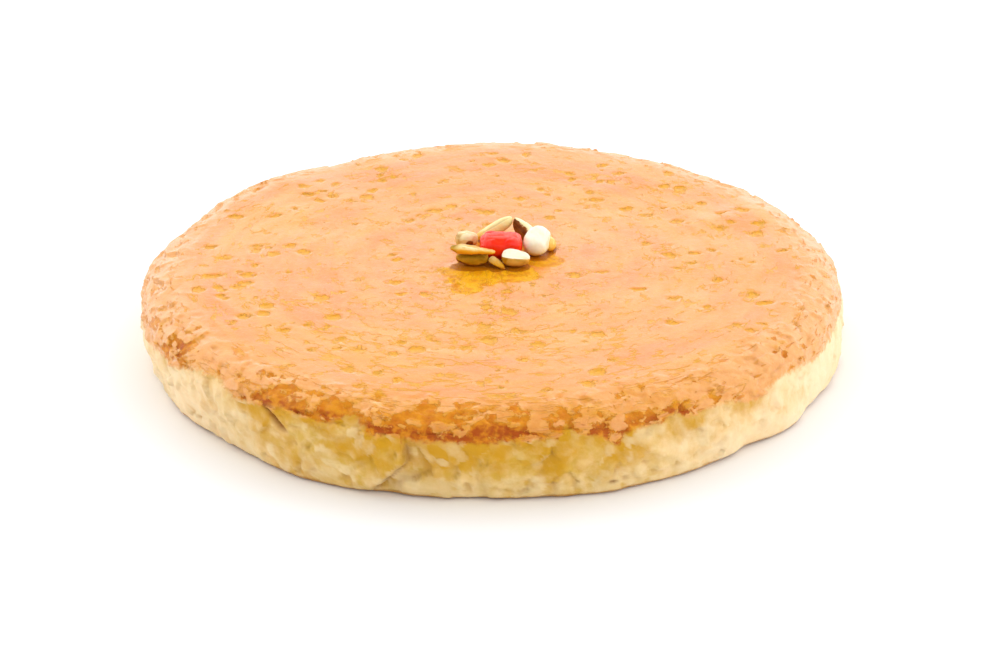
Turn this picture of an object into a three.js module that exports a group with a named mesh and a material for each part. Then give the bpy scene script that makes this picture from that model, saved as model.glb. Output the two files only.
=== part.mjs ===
/**
 * Coconut macaroon cake: a low, round, moist cake that is browned and glazed on top and pale
 * at its side, with a candied cherry and nine pieces of pistachio kernel in the middle.
 *
 * Millimetres, +Z up. The cake stands on z = 0 with its middle on the Z axis, and its front
 * is towards -Y. The cake is one solid, and each topping is a solid of its own.
 */
import * as THREE from "three";

// ---------- the cake's driving dimensions ----------
const CAKE_RADIUS = 131; // at the shoulder, as a 26 cm tin leaves it
const CAKE_HEIGHT = 30.4; // from the base to the rim's crest
const CRUST_HEIGHT = 8.5; // how far down the browned shoulder rounds over
const CRUST_WIDTH = 17; // how far in from the side the shoulder reaches
const SEAT_HEIGHT = 29.4; // the flat middle of the top, where the toppings sit
const SEAT_RADIUS = 30;
const SIDE_BULGE = 1.1; // the side swells a little at mid height
const BASE_ROUND = 2.4; // the rounding at the foot of the side
const OUTLINE_WANDER = 0.9; // how far the outline strays from a true circle
const FOOT_WANDER = 1; // how far the foot strays from the side above it
const FOOT_SHIFT = 2.4; // the cake leans: its foot stands this far to +X of its top
const FOOT_LIFT = 1.2; // the edge of the foot lifts off its plate here and there
const FACET_DEPTH = 1.1; // flats and creases that the paper lining left in the side
const FACETS_AROUND = 36;
const LUMP_SIZE = 9; // coarse lumps of the browned shoulder
const LUMP_HEIGHT = 0.9;
const WAVE_LENGTH = 34; // broad waves of the glazed top
const WAVE_HEIGHT = 0.45;

// The lining folded over itself at the front left, and left a step in the side.
const FOLD_ANGLE = -1.86;
const FOLD_WIDTH = 0.12;
const FOLD_DEPTH = 1.6;

const CAKE_SEGMENTS = 144;
const SIDE_ROWS = 6;
const SHOULDER_ROWS = 6;
const TOP_ROWS = 8;

// ---------- the toppings' driving dimensions ----------
const GAP = 0.3; // clearance that neighbouring pieces keep
const CHERRY = { length: 16.7, width: 14.8, height: 10, x: 3.8, y: 1.3, segments: 24, rows: 12 };
const KERNEL_SIDES = 14;
const KERNEL_RINGS = 9;

// Each kernel: its size along, across, below and above its middle plane, how much one end
// tapers and how much it bends; then its place (x, y) from the middle of the top, the level it
// rests on, and its turns in degrees: heading about Z, slope about its own width, roll about its
// own length.
const ON_CAKE = SEAT_HEIGHT + GAP;
const KERNELS = {
  kernel_front_left_upper: {
    length: 17, width: 5.4, below: 2, above: 1, taper: 0.12, bend: 0.5,
    x: -6.5, y: -8.1, rests_on: 34.6, heading: -12, slope: 2, roll: -8,
  },
  kernel_front_left_lower: {
    length: 12.2, width: 6.2, below: 2.6, above: 2.1, taper: -0.1, bend: 0.3,
    x: -6.8, y: -6.3, rests_on: ON_CAKE, heading: -6, slope: 0, roll: 12,
  },
  kernel_left: {
    length: 8.6, width: 7.2, below: 3.7, above: 3, taper: 0.15, bend: 0,
    x: -8.9, y: 9.4, rests_on: ON_CAKE, heading: 12, slope: 4, roll: -18,
  },
  kernel_back_left: {
    length: 16, width: 5.6, below: 3.2, above: 2.2, taper: -0.05, bend: -0.4,
    x: 1.6, y: 18.6, rests_on: ON_CAKE, heading: 20, slope: -23, roll: -24,
  },
  kernel_back_right: {
    length: 12, width: 5.4, below: 4.6, above: 1.6, taper: -0.2, bend: 0.4,
    x: 13.9, y: 16.8, rests_on: ON_CAKE, heading: -44, slope: 23, roll: -34,
  },
  kernel_right: {
    length: 12, width: 10.2, below: 4.7, above: 4.4, taper: 0.04, bend: 0,
    x: 17.9, y: 3.5, rests_on: ON_CAKE, heading: 70, slope: -26, roll: 0,
  },
  kernel_far_right: {
    length: 9.8, width: 3.3, below: 1.8, above: 2, taper: 0.05, bend: -1.4,
    x: 22.1, y: 8.2, rests_on: ON_CAKE, heading: 96, slope: -4, roll: 0,
  },
  kernel_front_right: {
    length: 10.6, width: 6, below: 4, above: 1.5, taper: 0.2, bend: 0,
    x: 9.6, y: -8.9, rests_on: ON_CAKE, heading: -5, slope: 5, roll: 18,
  },
  kernel_front_sliver: {
    length: 7.6, width: 3, below: 1.5, above: 1, taper: 0.34, bend: 0.3,
    x: 2.5, y: -9.5, rests_on: ON_CAKE, heading: -40, slope: 20, roll: 20,
  },
};

// ---------- finishes ----------
const FINISHES = {
  cake: { color: 0xe9a24a, roughness: 0.3, metalness: 0 },
  cherry: { color: 0xe0261c, roughness: 0.2, metalness: 0 },
  kernel: { color: 0xe6d596, roughness: 0.45, metalness: 0 },
};

// ---------- repeatable unevenness ----------

/** A fixed value from -1 to 1 for each whole-number place (i, j). */
function latticeValue(i, j, seed) {
  const wave = Math.sin(i * 127.1 + j * 311.7 + seed * 74.7) * 43758.5453;
  return 2 * (wave - Math.floor(wave)) - 1;
}

/** Smooth noise from -1 to 1 over (u, v); u repeats after `turn` cells where that is given. */
function smoothNoise(u, v, seed, turn = Infinity) {
  const i = Math.floor(u);
  const j = Math.floor(v);
  const wrap = (k) => (turn === Infinity ? k : ((k % turn) + turn) % turn);
  const fadeU = THREE.MathUtils.smoothstep(u - i, 0, 1);
  const fadeV = THREE.MathUtils.smoothstep(v - j, 0, 1);
  const { lerp } = THREE.MathUtils;
  const near = lerp(latticeValue(wrap(i), j, seed), latticeValue(wrap(i + 1), j, seed), fadeU);
  const far = lerp(latticeValue(wrap(i), j + 1, seed), latticeValue(wrap(i + 1), j + 1, seed), fadeU);
  return lerp(near, far, fadeV);
}

/** Noise that runs round the cake: `cells` lumps in a full turn, at height v in lumps. */
function noiseAround(angle, v, cells, seed) {
  return smoothNoise((angle / (2 * Math.PI)) * cells, v, seed, cells);
}

// ---------- closed bodies from rings ----------

/**
 * One closed body from a stack of rings that all have the same number of points and run
 * anticlockwise about the line from the first pole to the last.
 */
function bodyFromRings(firstPole, rings, lastPole) {
  const count = rings[0].length;
  const points = [firstPole, ...rings.flat(), lastPole];
  const last = points.length - 1;
  const at = (ring, j) => 1 + ring * count + (j % count);
  const faces = [];
  for (let j = 0; j < count; j += 1) {
    faces.push(0, at(0, j + 1), at(0, j));
    for (let ring = 0; ring + 1 < rings.length; ring += 1) {
      faces.push(at(ring, j), at(ring, j + 1), at(ring + 1, j + 1));
      faces.push(at(ring, j), at(ring + 1, j + 1), at(ring + 1, j));
    }
    faces.push(at(rings.length - 1, j), at(rings.length - 1, j + 1), last);
  }
  const geometry = new THREE.BufferGeometry();
  geometry.setFromPoints(points);
  geometry.setIndex(faces);
  geometry.computeVertexNormals();
  return geometry;
}

function namedMesh(name, geometry, finish) {
  const mesh = new THREE.Mesh(geometry, new THREE.MeshStandardMaterial(finish));
  mesh.name = name;
  return mesh;
}

// ---------- the cake ----------

/** The outline's radius at the shoulder, for one direction. */
function outlineRadius(angle) {
  return CAKE_RADIUS + OUTLINE_WANDER * noiseAround(angle, 0, 11, 1);
}

/** How far the lining's flats and creases push the side out or in, t going up the side. */
function facetPush(angle, t) {
  const cell = (angle / (2 * Math.PI)) * FACETS_AROUND + 0.8 * t * noiseAround(angle, 0, 9, 2);
  const left = Math.floor(cell);
  const wrap = (k) => ((k % FACETS_AROUND) + FACETS_AROUND) % FACETS_AROUND;
  const flat = THREE.MathUtils.lerp(
    latticeValue(wrap(left), 0, 3), latticeValue(wrap(left + 1), 0, 3), cell - left);
  return FACET_DEPTH * flat * Math.sin(Math.PI * THREE.MathUtils.clamp(t, 0.12, 0.88));
}

/** The step where the lining folded over: sudden on its left, fading out to its right. */
function foldPush(angle, t) {
  const along = (angle - FOLD_ANGLE - 0.05 * t) / FOLD_WIDTH;
  if (along < 0 || along > 1) return 0;
  return -FOLD_DEPTH * (1 - along) * Math.sin(Math.PI * t);
}

/** The height of the dished, gently waving top at a point inside the shoulder. */
function topHeight(x, y) {
  const { smoothstep, lerp } = THREE.MathUtils;
  const out = Math.hypot(x, y);
  const dish = lerp(SEAT_HEIGHT, CAKE_HEIGHT, smoothstep(out, SEAT_RADIUS, CAKE_RADIUS - CRUST_WIDTH));
  const wave = WAVE_HEIGHT * smoothNoise(x / WAVE_LENGTH, y / WAVE_LENGTH, 4);
  return dish + wave * smoothstep(out, SEAT_RADIUS, SEAT_RADIUS + WAVE_LENGTH / 2);
}

/** How far a level is shifted along X by the lean, t = 0 at the foot and 1 at the shoulder. */
function leanShift(t) {
  return FOOT_SHIFT * (0.5 - t);
}

/**
 * One upright slice of the cake, from the flat base round to the top's middle: for each point
 * its radius, its height and its shift along X.
 */
function cakeSlice(angle) {
  const { lerp } = THREE.MathUtils;
  const rim = outlineRadius(angle);
  const foot = rim + FOOT_WANDER * noiseAround(angle, 0, 27, 5);
  const lift = (FOOT_LIFT / 2) * (1 + noiseAround(angle, 0, 19, 6));
  const sideTop = CAKE_HEIGHT - CRUST_HEIGHT;
  const slice = [
    [foot - BASE_ROUND, 0, leanShift(0)],
    [foot - 0.3 * BASE_ROUND, 0.3 * BASE_ROUND + 0.5 * lift, leanShift(0)],
  ];

  for (let row = 0; row < SIDE_ROWS; row += 1) {
    const t = row / SIDE_ROWS;
    const swell = SIDE_BULGE * Math.sin(Math.PI * t);
    const radius = lerp(foot, rim, t) + swell + facetPush(angle, t) + foldPush(angle, t);
    slice.push([radius, lerp(BASE_ROUND + lift, sideTop, t), leanShift(t)]);
  }
  for (let row = 0; row < SHOULDER_ROWS; row += 1) {
    const turn = (row / SHOULDER_ROWS) * (Math.PI / 2);
    const lump = LUMP_HEIGHT * noiseAround(angle, (row * 3) / LUMP_SIZE, 92, 7);
    const radius = rim - CRUST_WIDTH * (1 - Math.cos(turn)) + lump * Math.cos(turn);
    slice.push([radius, sideTop + (CRUST_HEIGHT + lump) * Math.sin(turn), leanShift(1)]);
  }
  for (let row = 0; row < TOP_ROWS; row += 1) {
    const radius = (rim - CRUST_WIDTH) * (1 - row / TOP_ROWS);
    const z = topHeight(radius * Math.cos(angle), radius * Math.sin(angle));
    slice.push([radius, z, leanShift(1)]);
  }
  return slice;
}

function makeCake() {
  const slices = Array.from({ length: CAKE_SEGMENTS }, (_, step) => {
    const angle = (step / CAKE_SEGMENTS) * 2 * Math.PI - Math.PI;
    return cakeSlice(angle).map(([radius, z, shift]) =>
      new THREE.Vector3(radius * Math.cos(angle) + shift, radius * Math.sin(angle), z));
  });
  const rings = slices[0].map((_, row) => slices.map((slice) => slice[row]));
  const geometry = bodyFromRings(
    new THREE.Vector3(leanShift(0), 0, 0), rings, new THREE.Vector3(leanShift(1), 0, SEAT_HEIGHT));
  return namedMesh("cake", geometry, FINISHES.cake);
}

// ---------- the cherry ----------

/** A candied cherry, slumped on its seat, with a flattened, slightly wrinkled crown. */
function makeCherry() {
  const { length, width, height, x, y, segments, rows } = CHERRY;
  const ring = (row) => Array.from({ length: segments }, (_, step) => {
    const angle = (step / segments) * 2 * Math.PI;
    const rise = (row / rows) * Math.PI - Math.PI / 2;
    const wrinkle = 1 + 0.035 * Math.sin(3 * angle + 1) + 0.03 * noiseAround(angle, row / 3, 7, 8);
    const reach = Math.pow(Math.cos(rise), 0.72) * wrinkle;
    const up = Math.sign(rise) * Math.pow(Math.abs(Math.sin(rise)), 0.95);
    return new THREE.Vector3(
      (length / 2) * reach * Math.cos(angle),
      (width / 2) * reach * Math.sin(angle),
      (height / 2) * (1 + up));
  });
  const rings = Array.from({ length: rows - 1 }, (_, row) => ring(row + 1));
  const geometry = bodyFromRings(
    new THREE.Vector3(0, 0, 0), rings, new THREE.Vector3(0, 0, height - 0.4));
  const cherry = namedMesh("cherry", geometry, FINISHES.cherry);
  cherry.position.set(x, y, ON_CAKE);
  return cherry;
}

// ---------- the pistachio kernels ----------

/** A kernel along X: rounded below and, where `above` is small, nearly flat on its cut face. */
function kernelGeometry({ length, width, below, above, taper, bend }) {
  const ring = (place) => {
    const along = -Math.cos(place * Math.PI);
    const full = Math.pow(Math.sin(place * Math.PI), 0.8) * (1 - taper * along);
    return Array.from({ length: KERNEL_SIDES }, (_, step) => {
      const angle = (step / KERNEL_SIDES) * 2 * Math.PI;
      const depth = Math.sin(angle) < 0 ? below : above;
      return new THREE.Vector3(
        (length / 2) * along,
        (width / 2) * full * Math.cos(angle) + bend * (1 - along * along),
        depth * full * Math.sin(angle));
    });
  };
  const rings = Array.from({ length: KERNEL_RINGS }, (_, k) => ring((k + 1) / (KERNEL_RINGS + 1)));
  return bodyFromRings(
    new THREE.Vector3(-length / 2, 0, 0), rings, new THREE.Vector3(length / 2, 0, 0));
}

/** Turns a kernel to its pose and lowers it until its lowest point is at the level it rests on. */
function makeKernel(name, kernel) {
  const { degToRad } = THREE.MathUtils;
  const mesh = namedMesh(name, kernelGeometry(kernel), FINISHES.kernel);
  mesh.rotation.set(degToRad(kernel.roll), degToRad(kernel.slope), degToRad(kernel.heading), "ZYX");
  mesh.updateMatrixWorld(true);
  const lowest = new THREE.Box3().setFromObject(mesh, true).min.z;
  mesh.position.set(kernel.x, kernel.y, kernel.rests_on - lowest);
  return mesh;
}

// ---------- the whole ----------
const toppings = new THREE.Group();
toppings.position.x = leanShift(1);
toppings.add(makeCherry());
for (const [name, kernel] of Object.entries(KERNELS)) {
  toppings.add(makeKernel(name, kernel));
}

// The uneven outline is moved so that its bounding box is centred on the Z axis.
const cake = makeCake();
const outlineMiddle = new THREE.Box3().setFromObject(cake, true).getCenter(new THREE.Vector3());
const macaroonCake = new THREE.Group();
macaroonCake.position.set(-outlineMiddle.x, -outlineMiddle.y, 0);
macaroonCake.add(cake, toppings);

export default macaroonCake;
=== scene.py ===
"""Looks of a coconut macaroon cake.

A low round cake with a pale, moist side that the paper lining creased, a browned top under a
clear shiny glaze, and a candied cherry and pistachio kernels in the middle of it.

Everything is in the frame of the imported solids: metres, +Z up, the photographed front at -Y.
The surface's own relief is worked out in millimetres and turned into metres at the end.
"""
import logging
import math
from collections.abc import Iterator
from dataclasses import dataclass
from enum import Enum
from typing import Any

import bpy
import numpy as np
from mathutils import Euler, Matrix, Vector


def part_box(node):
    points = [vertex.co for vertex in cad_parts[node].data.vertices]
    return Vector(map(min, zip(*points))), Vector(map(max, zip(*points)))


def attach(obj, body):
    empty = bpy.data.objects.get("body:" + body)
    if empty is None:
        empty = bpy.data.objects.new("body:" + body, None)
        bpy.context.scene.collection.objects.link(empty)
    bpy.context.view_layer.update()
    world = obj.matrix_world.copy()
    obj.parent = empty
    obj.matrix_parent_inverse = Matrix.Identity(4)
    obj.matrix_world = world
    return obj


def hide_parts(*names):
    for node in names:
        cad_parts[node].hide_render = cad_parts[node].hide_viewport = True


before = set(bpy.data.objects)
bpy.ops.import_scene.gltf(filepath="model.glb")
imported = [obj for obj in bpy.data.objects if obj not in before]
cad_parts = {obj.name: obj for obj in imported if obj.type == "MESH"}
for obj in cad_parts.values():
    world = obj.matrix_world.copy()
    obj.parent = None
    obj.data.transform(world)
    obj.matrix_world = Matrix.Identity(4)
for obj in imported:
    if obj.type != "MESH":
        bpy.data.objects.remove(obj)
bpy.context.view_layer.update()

LOG = logging.getLogger("macaroon_cake")
MM = 0.001
BODY = "root"
Colour = tuple[float, float, float]
Array = np.ndarray
Socket = bpy.types.NodeSocket

# Large odd numbers that stir a place into a value, and the low 32 bits that are kept of it.
STIR = tuple(np.uint64(odd) for odd in (374761393, 668265263, 1440662683, 3266489917, 2246822519))
LOW_BITS = np.uint64(0xFFFFFFFF)
# How far apart the seeds are of the values that place a grain and that lean a facet.
PLACE_SEEDS = 7
LEAN_SEEDS = 11


# ------------------------------------------------------------------ arithmetic


def smoothstep(value: Array, low: float, high: float) -> Array:
    """Rise smoothly from 0 at low to 1 at high."""
    t = np.clip((value - low) / (high - low), 0.0, 1.0)
    return t * t * (3.0 - 2.0 * t)


def bell(value: Array, middle: float, half_width: float) -> Array:
    """A smooth bump, 1 at its middle and about a third at its half width."""
    return np.exp(-(((value - middle) / half_width) ** 2))


def angle_bell(angle: Array, middle_deg: float, half_width_deg: float) -> Array:
    """A smooth bump round the cake's outline, from directions in radians."""
    apart = np.degrees(np.angle(np.exp(1j * (angle - math.radians(middle_deg)))))
    return bell(apart, 0.0, half_width_deg)


def node_box(node: str) -> tuple[Array, Array]:
    """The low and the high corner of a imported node, in millimetres."""
    low, high = (np.array(corner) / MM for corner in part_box(node))
    return low, high


@dataclass(frozen=True)
class Noise:
    """Repeatable unevenness over points in millimetres.

    Attributes:
        seed: Which of the endless patterns this is.
    """

    seed: int

    def lattice(self, cells: Array) -> Array:
        """A fixed value from 0 to 1 for each whole-number place.

        Args:
            cells: Whole-number places, (..., 3).

        Returns:
            One value for each place.
        """
        x, y, z = (cells[..., k].astype(np.int64).astype(np.uint64) for k in range(3))
        h = x * STIR[0] + y * STIR[1] + z * STIR[2]
        h = (h + np.uint64(self.seed) * STIR[3]) & LOW_BITS
        for shift, odd in ((15, STIR[4]), (13, STIR[3])):
            h = ((h ^ (h >> np.uint64(shift))) * odd) & LOW_BITS
        return ((h ^ (h >> np.uint64(16))) & LOW_BITS).astype(float) / float(LOW_BITS)

    def triple(self, cells: Array, seeds_apart: int) -> Array:
        """Three fixed values from 0 to 1 for each whole-number place."""
        return np.stack([Noise(self.seed + seeds_apart * (k + 1)).lattice(cells) for k in range(3)], axis=1)

    def value(self, points: Array, size: float) -> Array:
        """Smooth noise from -1 to 1.

        Args:
            points: Places in millimetres, (n, 3).
            size: How far apart the pattern's own points are, in millimetres.

        Returns:
            One value for each place.
        """
        scaled = points / size
        cell = np.floor(scaled).astype(np.int64)
        t = scaled - cell
        fade = t * t * t * (t * (t * 6.0 - 15.0) + 10.0)
        total = np.zeros(len(points))
        for corner in np.ndindex(2, 2, 2):
            weight = np.prod(np.where(np.array(corner) == 1, fade, 1.0 - fade), axis=1)
            total += weight * self.lattice(cell + np.array(corner))
        return 2.0 * total - 1.0

    def fractal(self, points: Array, size: float, octaves: int, gain: float = 0.5) -> Array:
        """Noise with finer and finer detail, about -1 to 1.

        Args:
            points: Places in millimetres, (n, 3).
            size: The coarsest detail, in millimetres.
            octaves: How many times the detail is halved in size.
            gain: How strong each finer step is beside the last.

        Returns:
            One value for each place.
        """
        seed_step, shift = 101, 17.3
        total = np.zeros(len(points))
        weight, weights = 1.0, 0.0
        for step in range(octaves):
            total += weight * Noise(self.seed + seed_step * step).value(points + shift * step, size)
            weights += weight
            weight *= gain
            size *= 0.5
        return total / weights

    def ridges(self, points: Array, size: float, sharpness: float) -> Array:
        """Thin branching ridges from 0 between them to 1 on their crests."""
        return (1.0 - np.abs(self.value(points, size))) ** sharpness

    def bent(self, points: Array, size: float, amount: float) -> Array:
        """Places pushed about by noise, so that what is drawn on them bends."""
        shift = np.stack([Noise(self.seed + k).fractal(points, size, 2) for k in range(3)], axis=1)
        return points + amount * shift

    def grains_near(self, points: Array, size: float) -> Iterator[tuple[Array, Array, Array]]:
        """Each of the 27 scattered grains that can be the nearest one, for all the places at once.

        Args:
            points: Places in millimetres, (n, 3).
            size: How far apart the grains are, in millimetres.

        Yields:
            The grain's cell, the way from its middle to the place, and the length of that way,
            both in grain sizes.
        """
        scaled = points / size
        home = np.floor(scaled).astype(np.int64)
        for step in np.ndindex(3, 3, 3):
            cell = home + (np.array(step) - 1)
            away = scaled - (cell + self.triple(cell, PLACE_SEEDS))
            yield cell, away, np.linalg.norm(away, axis=1)

    def pebbles(self, points: Array, size: float) -> tuple[Array, Array]:
        """Scattered round grains, as in a heap of pebbles.

        Args:
            points: Places in millimetres, (n, 3).
            size: How far apart the grains are, in millimetres.

        Returns:
            The distance to the nearest grain's middle in grain sizes, and that grain's own value
            from 0 to 1.
        """
        nearest = np.full(len(points), np.inf)
        own = np.zeros(len(points))
        for cell, _, distance in self.grains_near(points, size):
            own = np.where(distance < nearest, self.lattice(cell), own)
            nearest = np.minimum(nearest, distance)
        return nearest, own

    def facets(self, points: Array, size: float, slope: float) -> Array:
        """Flat facets that meet in folds, as in crumpled paper.

        Args:
            points: Places in millimetres, (n, 3).
            size: How wide a facet is, in millimetres.
            slope: The steepest that a facet leans.

        Returns:
            The height of the facet at each place, in millimetres.
        """
        nearest = np.full(len(points), np.inf)
        height = np.zeros(len(points))
        for cell, away, distance in self.grains_near(points, size):
            own = np.sum(away * (self.triple(cell, LEAN_SEEDS) - 0.5), axis=1) * 2.0 * slope * size
            height = np.where(distance < nearest, own, height)
            nearest = np.minimum(nearest, distance)
        return height

    def seams(self, points: Array, size: float) -> Array:
        """How far each place is from the nearest seam between plates.

        Args:
            points: Places in millimetres, (n, 3).
            size: How wide a plate is, in millimetres.

        Returns:
            The distance in millimetres.
        """
        nearest = np.full(len(points), np.inf)
        second = np.full(len(points), np.inf)
        for _, _, distance in self.grains_near(points, size):
            second = np.minimum(second, np.maximum(distance, nearest))
            nearest = np.minimum(nearest, distance)
        return 0.5 * size * (second - nearest)


# ------------------------------------------------------------------ meshes


def make_mesh(name: str, points_mm: Array, faces: list[tuple[int, ...]],
              fields: dict[str, Array] | None = None) -> bpy.types.Object:
    """Make a smooth-shaded mesh object.

    Args:
        name: The object's name.
        points_mm: Its points in millimetres, (n, 3).
        faces: The points' numbers round each face.
        fields: Named values to keep at the points, for the finish to read.

    Returns:
        The object, linked into the scene.
    """
    mesh = bpy.data.meshes.new(name)
    mesh.from_pydata((points_mm * MM).tolist(), [], faces)
    mesh.validate()
    mesh.shade_smooth()
    for key, values in (fields or {}).items():
        layer = mesh.attributes.new(key, "FLOAT", "POINT")
        layer.data.foreach_set("value", np.asarray(values, dtype=np.float32))
    piece = bpy.data.objects.new(name, mesh)
    bpy.context.scene.collection.objects.link(piece)
    return piece


def ring_faces(inner: Array, outer: Array) -> list[tuple[int, int, int, int]]:
    """The faces of a closed band between two rings of points, walked anticlockwise."""
    after_inner, after_outer = np.roll(inner, -1), np.roll(outer, -1)
    return list(zip(inner.tolist(), outer.tolist(), after_outer.tolist(), after_inner.tolist()))


def loft(name: str, rings: Array, tips: Array, fields: dict[str, Array]) -> bpy.types.Object:
    """Make a closed body from rings of points between two tips.

    Args:
        name: The object's name.
        rings: Points of each ring in millimetres, (rings, sides, 3).
        tips: The first and the last point, (2, 3).
        fields: Named values, (rings * sides + 2,), the two tips last.

    Returns:
        The mesh object.
    """
    count, sides = rings.shape[:2]
    numbers = np.arange(count * sides).reshape(count, sides)
    first, last = count * sides, count * sides + 1
    faces: list[tuple[int, ...]] = []
    for side in range(sides):
        after = (side + 1) % sides
        faces.append((first, int(numbers[0, after]), int(numbers[0, side])))
        faces.append((last, int(numbers[-1, side]), int(numbers[-1, after])))
    for ring in range(count - 1):
        faces += ring_faces(numbers[ring + 1], numbers[ring])
    return make_mesh(name, np.concatenate([rings.reshape(-1, 3), tips]), faces, fields)


# ------------------------------------------------------------------ node trees


class Graph:
    """A node tree that is filled in by short calls."""

    def __init__(self, tree: bpy.types.NodeTree) -> None:
        """Keep the tree of a material, a group or the world."""
        self.tree = tree

    def add(self, kind: str, inputs: dict[Any, Any] | None = None, **settings: Any) -> bpy.types.Node:
        """Add one node.

        Args:
            kind: The node's type name in Blender.
            inputs: Input name or number to a value, or to the socket that feeds it.
            **settings: Properties of the node itself.

        Returns:
            The new node.
        """
        node = self.tree.nodes.new(kind)
        for key, value in settings.items():
            setattr(node, key, value)
        for key, value in (inputs or {}).items():
            self.feed(node.inputs[key], value)
        return node

    def feed(self, socket: Socket, value: Any) -> None:
        """Set an input, or link it.

        Args:
            socket: The input.
            value: A number, a vector, a colour, or the socket that feeds the input.
        """
        if isinstance(value, bpy.types.NodeSocket):
            self.tree.links.new(value, socket)
        elif isinstance(value, tuple) and len(value) == 3 and socket.type == "RGBA":
            socket.default_value = (*value, 1.0)
        else:
            socket.default_value = value

    def math(self, operation: str, *values: Any, clamp: bool = False) -> Socket:
        """An arithmetic step on one to three values or sockets."""
        node = self.add("ShaderNodeMath", dict(enumerate(values)), operation=operation, use_clamp=clamp)
        return node.outputs[0]

    def times(self, first: Any, second: Any, clamp: bool = False) -> Socket:
        """The product of two values."""
        return self.math("MULTIPLY", first, second, clamp=clamp)

    def most(self, first: Any, *others: Any) -> Socket:
        """The largest of some values.

        Args:
            first: One value or socket.
            *others: The rest of them.

        Returns:
            The largest one's socket.
        """
        for other in others:
            first = self.math("MAXIMUM", first, other)
        return first

    def vector(self, operation: str, *values: Any, output: str = "Vector") -> Socket:
        """An arithmetic step on one or two vectors."""
        node = self.add("ShaderNodeVectorMath", dict(enumerate(values)), operation=operation)
        return node.outputs[output]

    def blend(self, factor: Any, first: Any, second: Any) -> Socket:
        """Two colours mixed by a factor."""
        node = self.add("ShaderNodeMix", {0: factor, 6: first, 7: second}, data_type="RGBA")
        return node.outputs[2]

    def rise(self, value: Any, low: Any, high: Any, to_low: Any = 0.0, to_high: Any = 1.0) -> Socket:
        """A smooth change from to_low to to_high as a value goes from low to high."""
        inputs = dict(enumerate((value, low, high, to_low, to_high)))
        return self.add("ShaderNodeMapRange", inputs, interpolation_type="SMOOTHSTEP").outputs[0]

    def read(self, name: str) -> Socket:
        """A value that the mesh keeps at its points."""
        return self.add("ShaderNodeAttribute", attribute_name=name).outputs["Fac"]

    def place(self) -> Socket:
        """The place on the object, in metres."""
        return self.add("ShaderNodeTexCoord").outputs["Object"]

    def place_round(self, reach_mm: float) -> Socket:
        """The place with patterns drawn out round the cake, in metres.

        Args:
            reach_mm: The distance from the middle at which a pattern keeps its shape. Farther out
                it becomes longer round the cake.

        Returns:
            The drawn-out place.
        """
        x, y, z = self.add("ShaderNodeSeparateXYZ", {0: self.place()}).outputs
        level = self.add("ShaderNodeCombineXYZ", {0: x, 1: y}).outputs[0]
        ring = self.vector("MULTIPLY", self.vector("NORMALIZE", level), (reach_mm * MM,) * 3)
        outward = self.math("SUBTRACT", self.vector("LENGTH", level, output="Value"), z)
        return self.vector("ADD", ring, self.add("ShaderNodeCombineXYZ", {2: outward}).outputs[0])

    def spots(self, size_mm: Any, detail: float, roughness: float = 0.55, place: Any = None) -> Socket:
        """Cloudy noise whose coarsest spots have a size in millimetres."""
        inputs = {"Vector": place or self.place(), "Scale": self.math("DIVIDE", 1.0 / MM, size_mm),
                  "Detail": detail, "Roughness": roughness}
        return self.add("ShaderNodeTexNoise", inputs).outputs["Fac"]

    def group(self, tree: bpy.types.NodeTree, **inputs: Any) -> bpy.types.Node:
        """One of the shared effects, with its inputs by name."""
        return self.add("ShaderNodeGroup", inputs, node_tree=tree)


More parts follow.
